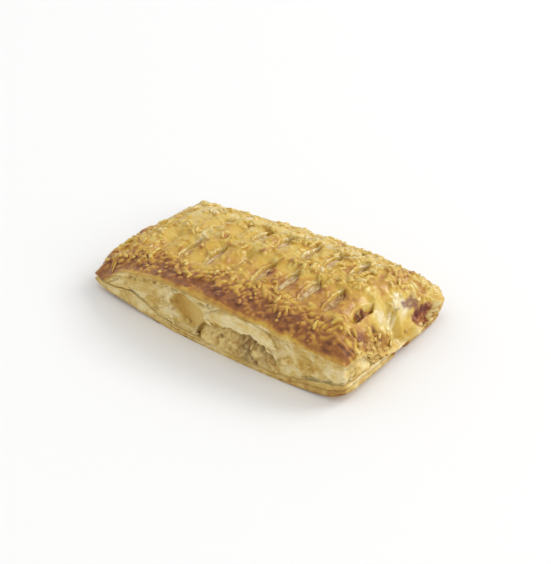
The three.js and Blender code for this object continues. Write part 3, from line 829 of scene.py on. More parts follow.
# %% Relief of the side
def wall_relief(x, y, z, below, share, near, end):
    """How far the side stands out, with masks. near and end are 1 on the near side and on the right end."""
    spot = np.stack([x, y, z], -1)
    lobe = far_lobe(x, y)
    layers, crease, pale = torn_layers(x, y, z, below, near, end)
    flap, groove = torn_flap(x, below, near)
    inside, left, rim = [near * part for part in blister(x, z)]
    burnt, bowl = [end * part for part in crater_share(x, y, z)]
    nub = end * nub_share(y, z)
    amber = mix(END_AMBER, curve(AMBER_LOW, x), near)
    body = ease(below - amber, 0.2, 1.8)
    calm = (1 - inside) * (1 - 0.6 * flap) * (1 - 0.85 * lobe)
    ragged = end * bell(y, -15, 12)
    shut = 0.3 + bell(x, -48, 12) + 0.3 * ease(x, 38, 44)
    seam = np.minimum((1 - near * ease(curve(MOUTH, x), 3, 6)) * mix(1, shut, near), 1)
    joined = near * ease(x, 36, 42)
    roll = 0.7 * bell(below, 1.2, 1.3) - 0.5 * ease(below, 2.2, 4.0)
    foot = RIM_REACH * ease(share, 0.25, 0.9) * (1 - 0.9 * lobe)
    foot = foot - mix(0.7, 0.3, joined) * seam * ease(share, 0.92, 1)
    speck = ease(lumps(np.stack([x, z], -1), (1.0, 0.7), 47), -0.05, 0.35)
    pores = bell(below - amber, 1.4, 1.3) * near * ease(-x, -8, 0) * speck * ease(x, -64, -58)
    puff = LOBE_PUFF * lobe * np.sin(np.pi * share) ** 0.8 * (1 - 0.4 * burnt)
    out = roll + foot + body * calm * layers * (1 + 0.8 * ragged) - 0.7 * pores + puff
    out = out - SCOOP_DEPTH * inside * mix(0.3, 1, left) + 0.6 * rim + FLAP_OUT * flap - 0.6 * groove
    out = out + lobe * blotches(spot, LOBE_LUMPS)
    out = out + 0.1 * lumps(spot, 0.9, 48) * body + 0.5 * flap * lumps(spot, 4.5, 49)
    out = np.minimum(out, BASE_REACH + 2.0 * lobe) + nub
    out = out + 0.6 * burnt * ease(share, 0, 0.1) * lumps(spot, *CRATER_LUMPS)
    # The crease mask is painted shade: in the layers' creases, in the crack above the flap and in the seam
    # over the lower sheet.
    joint = seam * mix(1, 0.3, joined) * ease(share, 0.93, 1)
    dark = np.maximum(np.maximum(body * calm * crease, 0.4 * groove), joint)
    peel = body * calm * (0.5 * near + ragged) * ease(lumps(spot, 5, 39), -0.2, 0.4)
    return out, dict(
        flaky=peel, pores=pores, crease=dark, burnt=burnt * fade(nub, 0, 0.3), inside=inside, left=left,
        bowl=bowl * fade(share, 0.7, 1), rim=rim, flap=flap, layer=pale, amber=amber, nub=nub, lobe=lobe)


UNDER_EDGE = 8.0
side_spot = [np.full(1, place) for place in (-40.0, -39.0, 12.0)]
stands_out, side_masks = wall_relief(*side_spot, UNDER_EDGE, 0.5, 1.0, 0.0)
print("the near side stands out by", round(float(stands_out[0]), 2), "mm,", UNDER_EDGE, "mm under its edge")

# %% How far the side is baked
def bake_side(x, y, z, below, edge_bake, near, wall):
    """Bake of the side and how dry it is: brown at the edge, an amber band, then pale flaky dough."""
    spot = np.stack([x, y, z], -1)
    deep = below + blotches(spot, DEPTH_WANDER)
    brown_low = mix(0.4, curve(BROWN_LOW, x), near)
    fleck = blotches(spot, FLECKS)
    # The blister's rim is paler, as a painted highlight.
    pale = 0.08 + fleck + 0.26 * wall["layer"] - 0.1 * wall["rim"]
    # The flap is paler from about 6 mm along; its left end is darker, as painted shade.
    pale = pale + wall["flap"] * mix(0.05, -0.14, ease(x, 6, 14))
    broken = ease(x, *NEAR_RIGHT) * blotches(spot, BROKEN_TONES)
    pale = pale + near * (0.08 * bell(x, 44, 9) - broken - 0.03 * ease(x, 56, 61))
    pale = mix(pale, 0.36 + fleck, wall["lobe"])
    tone = mix(0.5 + 0.06 * lumps(spot, 3, 64), pale, ease(deep - wall["amber"], -1.2, 1.0))
    tone = mix(edge_bake, tone, ease(deep - brown_low, -0.4, 1.2))
    # Inside the blister the dough is darker towards its left, as painted shade beside its steep left wall.
    tone = mix(tone, mix(0.34, 0.54, wall["left"]), wall["inside"])
    singed = bell(y, -9, 8) * ease(x, 66, 67) * (1 - near)
    singed = singed * (0.1 + 0.42 * ease(lumps(spot, *SINGE), 0.0, 0.35))
    # The far lobe is darker towards its foot, as painted shade under the lobe.
    tone = tone + singed + 0.42 * wall["lobe"] * fade(z, 5, 8) - 0.32 * valley(x, y)
    return mix(tone, 0.06, wall["nub"]), ease(deep - brown_low, -0.2, 1.5)


side_bake, _ = bake_side(*side_spot, UNDER_EDGE, GOLDEN, 1.0, side_masks)
print("bake there:", round(float(side_bake[0]), 2))

# %% Build the upper sheet
TOP_MASKS = ("burnt", "dark", "trench", "crease", "cheese", "strewn", "flaky")
WALL_MASKS = ("pores", "crease", "burnt", "flaky")
UNDER_BAKE = 0.2


def upper_sheet():
    """The upper sheet: its top, then its side ring by ring, then its underside."""
    skin = Skin("bake", "side", "pores", *TOP_MASKS)
    along = np.linspace(-1, 1, TOP_COLUMNS + 1)
    across = np.linspace(-1, 1, TOP_ROWS + 1)
    s, t = np.meshgrid(along, across)
    z, masks = crust_height(s, t)
    bake = bake_top(s, t, masks)
    shown = {mask: masks[mask] for mask in TOP_MASKS}
    x, y = plan(s, t)
    sunk = CRATER_DEPTH * masks["bowl"]
    px, pz = x + masks["push"] - CRATER_FACES[0] * sunk, z - CRATER_FACES[2] * sunk
    skin.grid(skin.add(px, y, pz, bake=bake, **shown))
    edge = z.ravel()[skin.ring]
    edge_bake = bake.ravel()[skin.ring]
    edge_push = masks["push"].ravel()[skin.ring]
    s, t = outline_ring(TOP_COLUMNS, TOP_ROWS)
    x, y = plan(s, t)
    low = rim_low(s, t)
    near = (t == -1).astype(float)
    end = (s == 1).astype(float)
    for share in np.linspace(0, 1, WALL_RINGS + 1)[1:]:
        level = mix(edge, low, share)
        out, wall = wall_relief(x, y, level, edge - level, share, near, end)
        tone, dry = bake_side(x, y, level, edge - level, edge_bake, near, wall)
        px, py = plan(s, t, out)
        sunk = CRATER_DEPTH * wall["bowl"]
        px = px + edge_push * (1 - share) ** PUSH_FADE - CRATER_FACES[0] * sunk
        shown = {mask: wall[mask] for mask in WALL_MASKS}
        skin.next_ring(px, py, level - CRATER_FACES[2] * sunk, bake=tone, side=dry, **shown)
    for scale in UNDER_RINGS:
        us, ut = s * scale, t * scale
        skin.next_ring(*plan(us, ut, RIM_REACH * scale), sheet_under(us, ut), bake=UNDER_BAKE, side=1.0)
    skin.close_middle(at_middle(sheet_under), bake=UNDER_BAKE, side=1.0)
    return skin.piece("baked_crust")


crust = upper_sheet()

# %% [markdown]
# ## The filling
# Pale cheese filling lies between the sheets. It wells up into each slit and stops just below the lips,
# and in the torn mouth it hangs in lumps and strings with hollows between, darkened as painted shade. It
# also reaches a little behind both corners of the mouth, so that no gap shows there. Its top is a grid
# that follows the underside of the upper sheet except in the slits, and its side is a stack of rings
# pushed in and out.
# Metaballs could make such lumps, but rings keep the filling closed and just inside the sheets.

# %% Sizes of the filling
FILLING_COLUMNS = 190
FILLING_ROWS = 112
FILLING_RINGS = 28
END_INSET = 12.0
NEAR_INSET = 9.0
FAR_INSET = 8.0
MOUTH_INSET = 3.0
MOUTH_FOOT = -1.3
MOUTH_OPEN = (3, 7)
MOUTH_STEPS = (5.0, 2.5)
MOUTH_CORNER = 1.6
FILLING_STEP = 2.5
FILLING_GAP = 0.6
WELL_DEPTH = 0.7
MOUTH_COVER = 2.0
HOLLOW_DEPTH = 2.0
FILLING_SCALES = (0.9, 0.5)
ABOVE_ALL = 99.0
WELL_LUMPS = [(0.4, 2.2, 71), (0.3, 1.0, 72)]
HANG_LUMPS = [(1.0, 4.2, 82), (0.35, 1.1, 83)]
HOLLOWS = [(14.0, 14.0, 4.0, 1.6), (29.0, 12.2, 2.4, 1.6), (7.3, 9.0, 1.6, 1.0), (-4.8, 7.6, 0.9, 1.4),
           (22.5, 8.6, 2.2, 0.9)]
print(len(HOLLOWS), "dark hollows in the mouth")

# %% The filling's place and top
def filling_place(p, q, near_inset):
    """The point s, t of the pastry under the point p, q of the filling, whose near face is this far in."""
    s = p * (1 - END_INSET / HALF_LENGTH)
    return s, mix(near_inset / HALF_WIDTH - 1, 1 - FAR_INSET / HALF_WIDTH, (q + 1) / 2)


def mouth_fill(x):
    """Height of the mouth's lip, spread a little past both corners, where filling lies behind the side."""
    return curve(MOUTH, x + MOUTH_STEPS[0] * ease(-x, -4, 6) - MOUTH_STEPS[1] * ease(x, 29, 35))


def front_inset(p, z):
    """How far in the filling's near face is. Below the mouth's lip it comes forward and spreads."""
    x = p * (HALF_LENGTH - END_INSET)
    lip = mouth_fill(x)
    foot = mix(MOUTH_FOOT, MOUTH_CORNER, ease(-x, 2, 6))
    top = mix(NEAR_INSET, MOUTH_INSET, ease(lip, *MOUTH_OPEN))
    below = lip - z
    return mix(top, mix(MOUTH_INSET, foot, ease(below, 0, 8)), ease(below, 0.2, 2.0))


def filling_top(s, t):
    """Top of the filling: under the upper sheet, and welling up in the slits."""
    step = FILLING_STEP / HALF_LENGTH
    unders = [sheet_under(s + k * step, t, FILLING_STEP) for k in (-1, 0, 1)]
    x, y = plan(s, t)
    behind_mouth = (mouth_fill(x) - MOUTH_COVER) * ease(-t, 0.7, 0.78)
    under = np.maximum(np.min(unders, axis=0) - FILLING_GAP, behind_mouth)
    flat = np.stack([x, y], -1)
    crest, gap, _, _ = slit_field(x, y)
    surface = dome(s, t) - SLIT_DIP * (1 - crest)
    well = surface - WELL_DEPTH + blotches(flat, WELL_LUMPS)
    return mix(under, np.maximum(well, under), ease(-gap, -0.9, 0.0))


print("the filling is", round(at_middle(filling_top), 1), "mm high at the middle")

# %% Lumps and strings in the mouth
def mouth_relief(x, z):
    """How far the filling hangs forward in the mouth, where its hollows are, and how stringy it is."""
    spot = np.stack([x, z], -1)
    lean = x + 0.5 * z + 1.2 * lumps(spot, 4, 80)
    strings = np.stack([lean, z], -1)
    ridge = 1 - 2 * np.abs(lumps(strings, (1.4, 5.0), 81))
    cross = 1 - 2 * np.abs(lumps(np.stack([x - 0.8 * z, z], -1), (2.3, 7.0), 85))
    hang = blotches(spot, HANG_LUMPS) + 0.8 * ridge + 0.6 * cross
    hollow = 0 * x
    for middle, height, wide, tall in HOLLOWS:
        r = np.hypot((x - middle) / wide, (z - height) / tall)
        r = r + 0.35 * lumps(spot, 1.6, 84) - 0.25 * np.minimum(ridge, 0)
        hollow = np.maximum(hollow, fade(r, 0.4, 1.1))
    return hang - HOLLOW_DEPTH * hollow, hollow, np.maximum(ridge, cross)


first_hollow = [np.full(1, place) for place in HOLLOWS[0][:2]]
hangs = float(mouth_relief(*first_hollow)[0][0])
print("the first hollow lies", round(-hangs, 1), "mm back")

# %% Build the filling
def filling_body():
    """The filling: its top, then its side ring by ring, then its underside."""
    skin = Skin("hollow", "ridge", "well", "brown")
    p, q = np.meshgrid(np.linspace(-1, 1, FILLING_COLUMNS + 1), np.linspace(-1, 1, FILLING_ROWS + 1))
    s, t = filling_place(p, q, front_inset(p, ABOVE_ALL))
    z = filling_top(s, t)
    x, y = plan(s, t)
    last = ease(x, 49, 53)
    grainy = ease(lumps(np.stack([x, y], -1), 1.6, 73), -0.3, 0.3)
    brown = slit_field(x, y)[3]
    skin.grid(skin.add(x, y, z, well=1 - 0.8 * last, hollow=0.7 * last * grainy, brown=brown))
    top = z.ravel()[skin.ring]
    p, q = outline_ring(FILLING_COLUMNS, FILLING_ROWS)
    s, t = filling_place(p, q, front_inset(p, ABOVE_ALL))
    bottom = base_top(s, np.maximum(t, -1)) + FILLING_GAP
    for share in np.linspace(0, 1, FILLING_RINGS + 1)[1:]:
        level = mix(top, bottom, share)
        x, y = plan(*filling_place(p, q, front_inset(p, level)))
        mouth = (q == -1) * ease(curve(MOUTH, x) - level, 0.5, 2.5)
        hang, hollow, ridge = mouth_relief(x, level)
        forward = mouth * hang * ease(1 - share, 0, 0.2)
        # shaded is painted shade across the mouth from about 12 mm along; the hollow mask carries it with the
        # painted shade of the hollows.
        shaded = 0.95 * ease(x, 12, 23) * (1 - 0.6 * ease(x, 26, 32)) * ease(1 - ridge, -0.2, 0.6)
        skin.next_ring(x, y - forward, level, hollow=np.maximum(hollow, shaded) * mouth,
                       ridge=(ridge + 0.25 * fade(x, 10, 18)) * mouth)
    for scale in FILLING_SCALES:
        s, t = filling_place(p * scale, q * scale, MOUTH_INSET)
        skin.next_ring(*plan(s, t), base_top(s, t) + FILLING_GAP)
    skin.close_middle(at_middle(base_top) + FILLING_GAP)
    return skin.piece("cheese_filling")


filling = filling_body()

# %% [markdown]
# ## The lower sheet
# The lower sheet is thin and dry. Where it is thin its edge shows the fine layers of puff dough as
# grooves, and where it puffed up, towards both corners of the near side, it is a smooth blotchy roll.
# Rings make all of it: a few across the hidden middle, many down the edge. Extruding the outline would be
# quicker, but its edge would be plain.

# %% Sizes of the lower sheet
BASE_EDGE_RINGS = 16
BASE_SCALES = [0.3, 0.6, 0.8, 0.88, 0.93, 0.96, 0.98, 1.0]
LAYER_PITCH = 1.15
BASE_TOP_REACH = 1.0
BASE_UNDER_REACH = 1.9
BASE_TOP_BAKE = 0.3
BASE_UNDER_BAKE = 0.55
BASE_RAGS = [(0.6, 4.5, 91), (0.35, 1.6, 92)]
BASE_BLOTCHES = [(0.2, 6, 95), (0.16, 2, 96)]
print("the lower sheet reaches", BASE_UNDER_REACH, "mm past the outline")

# %% Build the lower sheet
def lower_sheet():
    """The lower sheet, in rings from the middle of its top over its edge to the middle of its underside."""
    skin = Skin("bake", "crease")
    s, t = outline_ring(TOP_COLUMNS, TOP_ROWS)
    x, y = plan(s, t)
    spot = np.stack([x, y, 0 * x], -1)
    dent = NOTCH_PUSH * valley(x, y)
    skin.open_middle(at_middle(base_top), bake=BASE_TOP_BAKE)
    for k, scale in enumerate(BASE_SCALES):
        add = skin.next_ring if k else skin.first_ring
        reach = BASE_TOP_REACH - dent * ease(scale, 0.85, 1)
        add(*plan(s * scale, t * scale, reach), base_top(s * scale, t * scale), bake=BASE_TOP_BAKE)
    top, low = base_top(s, t), lift(s, t)
    thick = ease(top - low, 3.0, 4.5)
    for share in np.linspace(0, 1, BASE_EDGE_RINGS + 1)[1:]:
        level = mix(top, low, share)
        here = np.stack([x, y, level], -1)
        layers = np.sin(2 * np.pi * ((level - low) / LAYER_PITCH + 0.5 * lumps(spot, 14, 93)))
        groove = ease(-layers, 0.3, 0.95) * mix(1.0, 0.3, thick)
        groove = groove * ease(lumps(here, (9, 9, 2), 94), -0.4, 0.2)
        split = ease(x, 38, 46) * bell(share, 0.45 + 0.06 * lumps(spot, 9, 97), 0.07)
        groove = np.maximum(groove, 0.6 * split)
        bulge = mix(BASE_TOP_REACH, BASE_UNDER_REACH, ease(share, 0.1, 0.9)) - 0.3 * far_lobe(x, y)
        bulge = bulge + 0.4 * np.sin(np.pi * share ** 0.8)
        ragged = blotches(here, BASE_RAGS) * np.sin(np.pi * share)
        reach = np.minimum(bulge + ragged - 0.8 * groove, BASE_REACH + 0.6) - dent
        tone = 0.18 + 0.2 * share ** 4 + blotches(here, BASE_BLOTCHES) + 0.06 * (1 - thick)
        tone = tone + 0.1 * bell(x, 43, 6) - 0.24 * ease(x, 66, 67.5) * ease(-y, 0, 10)
        tone = tone + 0.13 * ease(x, 38, 50) * (1 + ease(share, 0.3, 0.5))
        # The crease mask darkens the grooves and the split as painted shade.
        skin.next_ring(*plan(s, t, reach), level, bake=tone, crease=groove * mix(0.7, 1, ease(x, 30, 44)))
    for scale in BASE_SCALES[-2::-1]:
        reach = BASE_UNDER_REACH - dent * ease(scale, 0.85, 1)
        skin.next_ring(*plan(s * scale, t * scale, reach), lift(s * scale, t * scale), bake=BASE_UNDER_BAKE)
    skin.close_middle(at_middle(lift), bake=BASE_UNDER_BAKE)
    return skin.piece("base_sheet")


base = lower_sheet()

# %% [markdown]
# ## Node trees as sums
# Finishes and scattered cheese are both made by node trees. To keep them readable, one class wraps a
# node's output so that plain arithmetic adds Math nodes, and one method adds any other node from its
# type, its settings and its sockets. Nodes could be placed by hand in the editor, but a script can be
# read and run again.

# %% A socket that can be calculated with
class Value:
    def __init__(self, tree, socket):
        self.tree = tree
        self.socket = socket

    def _math(self, operation, first, second):
        return self.tree.add("ShaderNodeMath", {"operation": operation}, {0: first, 1: second})[0]

    def __add__(self, other):
        return self._math("ADD", self, other)

    def __radd__(self, other):
        return self._math("ADD", other, self)

    def __sub__(self, other):
        return self._math("SUBTRACT", self, other)

    def __rsub__(self, other):
        return self._math("SUBTRACT", other, self)

    def __mul__(self, other):
        return self._math("MULTIPLY", self, other)

    def __rmul__(self, other):
        return self._math("MULTIPLY", other, self)

    def __pow__(self, other):
        return self._math("POWER", self, other)


class Node:
    def __init__(self, tree, node):
        self.tree = tree
        self.node = node

    def __getitem__(self, key):
        return Value(self.tree, self.node.outputs[key])


sums = [key.strip("_") for key in vars(Value) if key not in vars(Node) and key != "_math"]
print("sums with a socket:", sums)

# %% A tree of nodes
class Tree:
    """A node tree that is written as a list of nodes and sums."""

    def __init__(self, tree):
        self.tree = tree

    def add(self, kind, settings=None, sockets=None):
        node = self.tree.nodes.new(kind)
        for key, value in (settings or {}).items():
            if key == "stops":
                self._stops(node.color_ramp, value)
            else:
                setattr(node, key, value)
        for key, value in (sockets or {}).items():
            if isinstance(value, Value):
                self.tree.links.new(value.socket, node.inputs[key])
            else:
                node.inputs[key].default_value = value
        return Node(self, node)

    @staticmethod
    def _stops(ramp, stops):
        while len(ramp.elements) < len(stops):
            ramp.elements.new(1.0)
        for element, (place, colour) in zip(ramp.elements, stops):
            element.position = place
            element.color = colour


print("a tree is written with", [key for key in vars(Tree) if not key.startswith("_")])

# %% A finish
class Finish(Tree):
    """A material's node tree, with the few nodes that every baked finish here uses."""

    def __init__(self, name):
        self.material = bpy.data.materials.new(name)
        self.material.use_nodes = True
        super().__init__(self.material.node_tree)
        self.tree.nodes.clear()
        self.place = self.add("ShaderNodeTexCoord")["Object"]

    def mask(self, name):
        return self.add("ShaderNodeAttribute", {"attribute_name": name})["Fac"]

    def noise(self, per_metre, detail):
        sockets = {"Vector": self.place, "Scale": per_metre, "Detail": detail, "Roughness": 0.55}
        return self.add("ShaderNodeTexNoise", None, sockets)["Fac"]

    def layers(self, per_metre, thin):
        """Noise in level layers, this many times thinner than they are long."""
        sockets = {0: self.place, 1: (1, 1, thin)}
        flat = self.add("ShaderNodeVectorMath", {"operation": "MULTIPLY"}, sockets)[0]
        sockets = {"Vector": flat, "Scale": per_metre, "Detail": 4.0, "Distortion": 1.2}
        return self.add("ShaderNodeTexNoise", None, sockets)["Fac"]

    def ramp(self, value, stops):
        return self.add("ShaderNodeValToRGB", {"stops": stops}, {"Fac": value})["Color"]

    def blend(self, share, first, second):
        settings = {"data_type": "RGBA", "clamp_factor": True}
        return self.add("ShaderNodeMix", settings, {0: share, 6: first, 7: second})[2]

    def bump(self, height, distance, strength):
        sockets = {"Height": height, "Distance": distance, "Strength": strength}
        return self.add("ShaderNodeBump", None, sockets)["Normal"]

    def surface(self, sockets):
        shader = self.add("ShaderNodeBsdfPrincipled", None, sockets)
        self.add("ShaderNodeOutputMaterial", None, {"Surface": shader["BSDF"]})
        return self.material


def shade(red, green, blue):
    """A colour given as screen values from 0 to 255, as the shader's linear numbers with full alpha."""
    parts = [part / 255 for part in (red, green, blue)]
    return (*(c / 12.92 if c <= 0.04045 else ((c + 0.055) / 1.055) ** 2.4 for c in parts), 1.0)


print("a grey of 128 is", round(shade(128, 128, 128)[0], 3), "to the shader")

# %% [markdown]
# ## Baked dough
# One number, the bake, says how long the heat worked on a point: pale dough, gold, then brown. In places
# it also holds painted shade and painted highlights. A ramp turns it into colour. Noise moves it a little
# at two sizes, because dough never bakes evenly. The glazed top is glossy and the torn sides are dry. It
# could be an image on a UV map, but masks on the points follow the relief exactly and need no picture.

# %% The sheets' finishes
BAKE_STOPS = [
    (0.0, shade(240, 224, 182)), (0.18, shade(222, 197, 126)), (0.36, shade(216, 185, 86)),
    (0.50, shade(207, 166, 54)), (0.64, shade(184, 130, 42)), (0.80, shade(148, 89, 33)),
    (1.0, shade(98, 52, 26)),
]
DRY_STOPS = [
    (0.0, shade(238, 219, 166)), (0.18, shade(226, 200, 130)), (0.36, shade(210, 177, 98)),
    (0.50, shade(196, 156, 76)), (0.64, shade(176, 128, 58)), (0.80, shade(148, 90, 38)),
    (1.0, shade(98, 54, 30)),
]
BURNT_STOPS = [(0.32, shade(92, 40, 28)), (0.5, shade(138, 72, 44)), (0.66, shade(198, 142, 84))]
# The pale cut dough on a slit's wall, weak on its right, then painted shade in the pores and in the creases.
CUT_DOUGH_AND_SHADE = [("trench", 0.8, shade(206, 172, 106)), ("pores", 0.7, shade(138, 110, 62)),
           ("crease", 0.6, shade(140, 102, 46))]
# The scorched wedge's own dark colour, also used as painted shade in the pin hole.
SCORCH_AND_HOLE_SHADE = shade(126, 68, 50)
# Painted shade in the lower sheet's grooves and along its split.
BASE_GROOVE_SHADE = shade(124, 86, 40)


def crust_finish():
    f = Finish("baked_crust")
    fine = f.noise(900, 4)
    broad = f.noise(170, 3)
    side = f.mask("side")
    leaves = f.layers(240, 3.2)
    # The mask beside the cheese darkens the crust: partly browning, partly painted shade.
    bake = f.mask("bake") + f.mask("fried") * 0.12 + (fine - 0.5) * 0.2 + (broad - 0.5) * 0.14
    bake = bake + side * (leaves - 0.5) * 0.34
    colour = f.blend(side, f.ramp(bake, BAKE_STOPS), f.ramp(bake, DRY_STOPS))
    for mask, share, overlay_colour in CUT_DOUGH_AND_SHADE:
        colour = f.blend(f.mask(mask) * share, colour, overlay_colour)
    colour = f.blend(f.mask("burnt"), colour, f.ramp(f.noise(420, 4), BURNT_STOPS))
    colour = f.blend(f.mask("dark") * (0.4 + f.noise(900, 3) * 1.1), colour, SCORCH_AND_HOLE_SHADE)
    rough = 0.32 + side * 0.4 + (fine - 0.5) * 0.3
    return f.surface({
        "Base Color": colour, "Roughness": rough, "Specular IOR Level": 0.35,
        "Coat Weight": (1.0 - side) * (1.0 - bake) * (1.0 - f.mask("burnt")), "Coat Roughness": 0.12,
        "Normal": f.bump(fine * 0.6 + f.noise(2600, 3) * 0.4 + side * leaves * 1.4, 0.0006, 0.8),
    })


def base_finish():
    f = Finish("base_sheet")
    fine = f.noise(800, 4)
    leaves = f.layers(200, 6.0)
    bake = f.mask("bake") + (fine - 0.5) * 0.26 + (f.noise(150, 3) - 0.5) * 0.3 + (leaves - 0.5) * 0.36
    colour = f.blend(f.mask("crease") * 0.6, f.ramp(bake, DRY_STOPS), BASE_GROOVE_SHADE)
    normal = f.bump(fine + leaves, 0.0007, 0.9)
    return f.surface({"Base Color": colour, "Roughness": 0.62, "Normal": normal})


print(len(BAKE_STOPS), "colours from pale dough to dark brown")

# %% The filling's finish
MOUTH_STOPS = [(0.32, shade(164, 120, 54)), (0.52, shade(206, 168, 88)), (0.72, shade(234, 208, 134))]
PALE_STOPS = [(0.35, shade(184, 146, 92)), (0.55, shade(216, 190, 142)), (0.7, shade(240, 226, 194))]
BROWN_STOPS = [(0.34, shade(136, 84, 42)), (0.52, shade(182, 132, 72)), (0.7, shade(222, 188, 122))]
# Painted shade in the mouth's hollows, and the dark specks in the filling under the last slit.
HOLLOW_SHADE_AND_SPECK = shade(116, 80, 36)


def filling_finish():
    f = Finish("cheese_filling")
    tone = f.noise(520, 4) + f.mask("ridge") * 0.2 + f.mask("well") * 0.06
    in_slit = f.blend(f.mask("brown") * 0.85, f.ramp(tone, PALE_STOPS), f.ramp(tone, BROWN_STOPS))
    colour = f.blend(f.mask("well") * 0.85, f.ramp(tone, MOUTH_STOPS), in_slit)
    colour = f.blend(f.mask("hollow") * 0.8, colour, HOLLOW_SHADE_AND_SPECK)
    return f.surface({
        "Base Color": colour, "Roughness": 0.42, "Normal": f.bump(f.noise(1400, 4), 0.0006, 0.8),
    })


crust.data.materials.append(crust_finish())
filling.data.materials.append(filling_finish())
base.data.materials.append(base_finish())
print("finishes", [m.name for m in bpy.data.materials])

# %% [markdown]
# ## Shredded cheese
# Shreds of cheese were strewn over the dough and baked on. They could be modelled one by one, but there
# are hundreds, so Geometry Nodes scatter them: points are spread on the crust by its cheese mask, each
# point gets a bent line turned at random, the lines are dropped onto the crust by casting rays down, and
# a round section is swept along them. The points keep the bake of the crust under them, so cheese is
# darker where the crust is. Small grains are scattered in the same way as squashed balls.

# %% A geometry tree with named inputs
SOCKET_KINDS = {
    int: "NodeSocketInt", float: "NodeSocketFloat",
    bpy.types.Object: "NodeSocketObject", bpy.types.Material: "NodeSocketMaterial",
}


class Scatter(Tree):
    """A geometry tree over the crust whose sizes are named inputs, run once and kept as a plain mesh."""

    def __init__(self, name, sizes):
        group = bpy.data.node_groups.new(name, "GeometryNodeTree")
        super().__init__(group)
        self.name = name
        self.sizes = {"Crust": crust, **sizes}
        group.interface.new_socket("Geometry", in_out="OUTPUT", socket_type="NodeSocketGeometry")
        self.keys = {}
        for label, value in self.sizes.items():
            kind = SOCKET_KINDS[type(value)]
            socket = group.interface.new_socket(label, in_out="INPUT", socket_type=kind)
            self.keys[label] = socket.identifier
        self.inputs = self.add("NodeGroupInput")
        self.crust = self.add("GeometryNodeObjectInfo", None, {"Object": self.size("Crust")})["Geometry"]

    def size(self, label):
        return self.inputs[label]

    def attribute(self, name):
        settings = {"data_type": "FLOAT"}
        return self.add("GeometryNodeInputNamedAttribute", settings, {"Name": name})["Attribute"]

    def random(self, low, high, draw):
        """A random number for each point. Each draw has its own seed, counted on from the tree's."""
        sockets = {2: low, 3: high, "Seed": self.size("Seed") + draw}
        return self.add("FunctionNodeRandomValue", {"data_type": "FLOAT"}, sockets)[1]

    def vector(self, x, y, z):
        return self.add("ShaderNodeCombineXYZ", None, {0: x, 1: y, 2: z})[0]

    def push(self, place, direction, amount):
        """A place moved along a direction by an amount."""
        sockets = {0: direction, 1: self.vector(*3 * [amount]), 2: place}
        return self.add("ShaderNodeVectorMath", {"operation": "MULTIPLY_ADD"}, sockets)[0]

    def any_turn(self, draw):
        return self.vector(0.0, 0.0, self.random(0.0, math.tau, draw))

    def spread(self, mask):
        """Points on the crust, thickest where the mask is 1."""
        sockets = {"Mesh": self.crust, "Density Factor": self.attribute(mask), "Seed": self.size("Seed"),
                   "Distance Min": self.size("Spacing"), "Density Max": self.size("Per square metre")}
        return self.add("GeometryNodeDistributePointsOnFaces", {"distribute_method": "POISSON"}, sockets)

    def ball(self, radius):
        """A closed ball with few faces, to be squashed."""
        sockets = {"Radius": radius, "Segments": self.size("Segments"), "Rings": self.size("Rings")}
        return self.add("GeometryNodeMeshUVSphere", None, sockets)["Mesh"]

    def place(self, points, shape, turn, scale):
        sockets = {"Points": points, "Instance": shape, "Rotation": turn, "Scale": scale}
        return self.add("GeometryNodeInstanceOnPoints", None, sockets)["Instances"]

    def keep(self, instances, name, value):
        """The instances with a value stored under a name."""
        settings = {"data_type": "FLOAT", "domain": "INSTANCE"}
        sockets = {"Geometry": instances, "Name": name, "Value": value}
        return self.add("GeometryNodeStoreNamedAttribute", settings, sockets)["Geometry"]

    def realize(self, geometry):
        return self.add("GeometryNodeRealizeInstances", None, {"Geometry": geometry})["Geometry"]

    def run(self, geometry):
        """Ends the tree, runs it and returns the plain mesh object."""
        sockets = {"Geometry": self.realize(geometry)}
        smooth = self.add("GeometryNodeSetShadeSmooth", None, sockets)["Geometry"]
        sockets = {"Geometry": smooth, "Material": self.size("Finish")}
        self.add("NodeGroupOutput", None, {0: self.add("GeometryNodeSetMaterial", None, sockets)["Geometry"]})
        host = bpy.data.objects.new(self.name, bpy.data.meshes.new(self.name))
        bpy.context.scene.collection.objects.link(host)
        modifier = host.modifiers.new(self.name, "NODES")
        modifier.node_group = self.tree
        for label, value in self.sizes.items():
            modifier[self.keys[label]] = value
        evaluated = host.evaluated_get(bpy.context.evaluated_depsgraph_get())
        mesh = bpy.data.meshes.new_from_object(evaluated)
        host.modifiers.remove(modifier)
        host.data = mesh
        mesh.calc_loop_triangles()
        print(self.name, len(mesh.loop_triangles), "triangles")
        return host


print("an input may be", [kind.__name__ for kind in SOCKET_KINDS])

# %% The cheese's finish
def cheese_finish():
    f = Finish("baked_cheese")
    bake = f.mask("bake") * 0.86 + f.mask("tone") * 0.2 + (f.noise(900, 3) - 0.5) * 0.24 - 0.14
    return f.surface({
        "Base Color": f.ramp(bake, BAKE_STOPS), "Roughness": 0.34, "Coat Weight": 0.3,
        "Coat Roughness": 0.2, "Normal": f.bump(f.noise(1500, 3), 0.0003, 0.6),
    })


cheese = cheese_finish()
print("finish", cheese.name, "with", len(cheese.node_tree.nodes), "nodes")

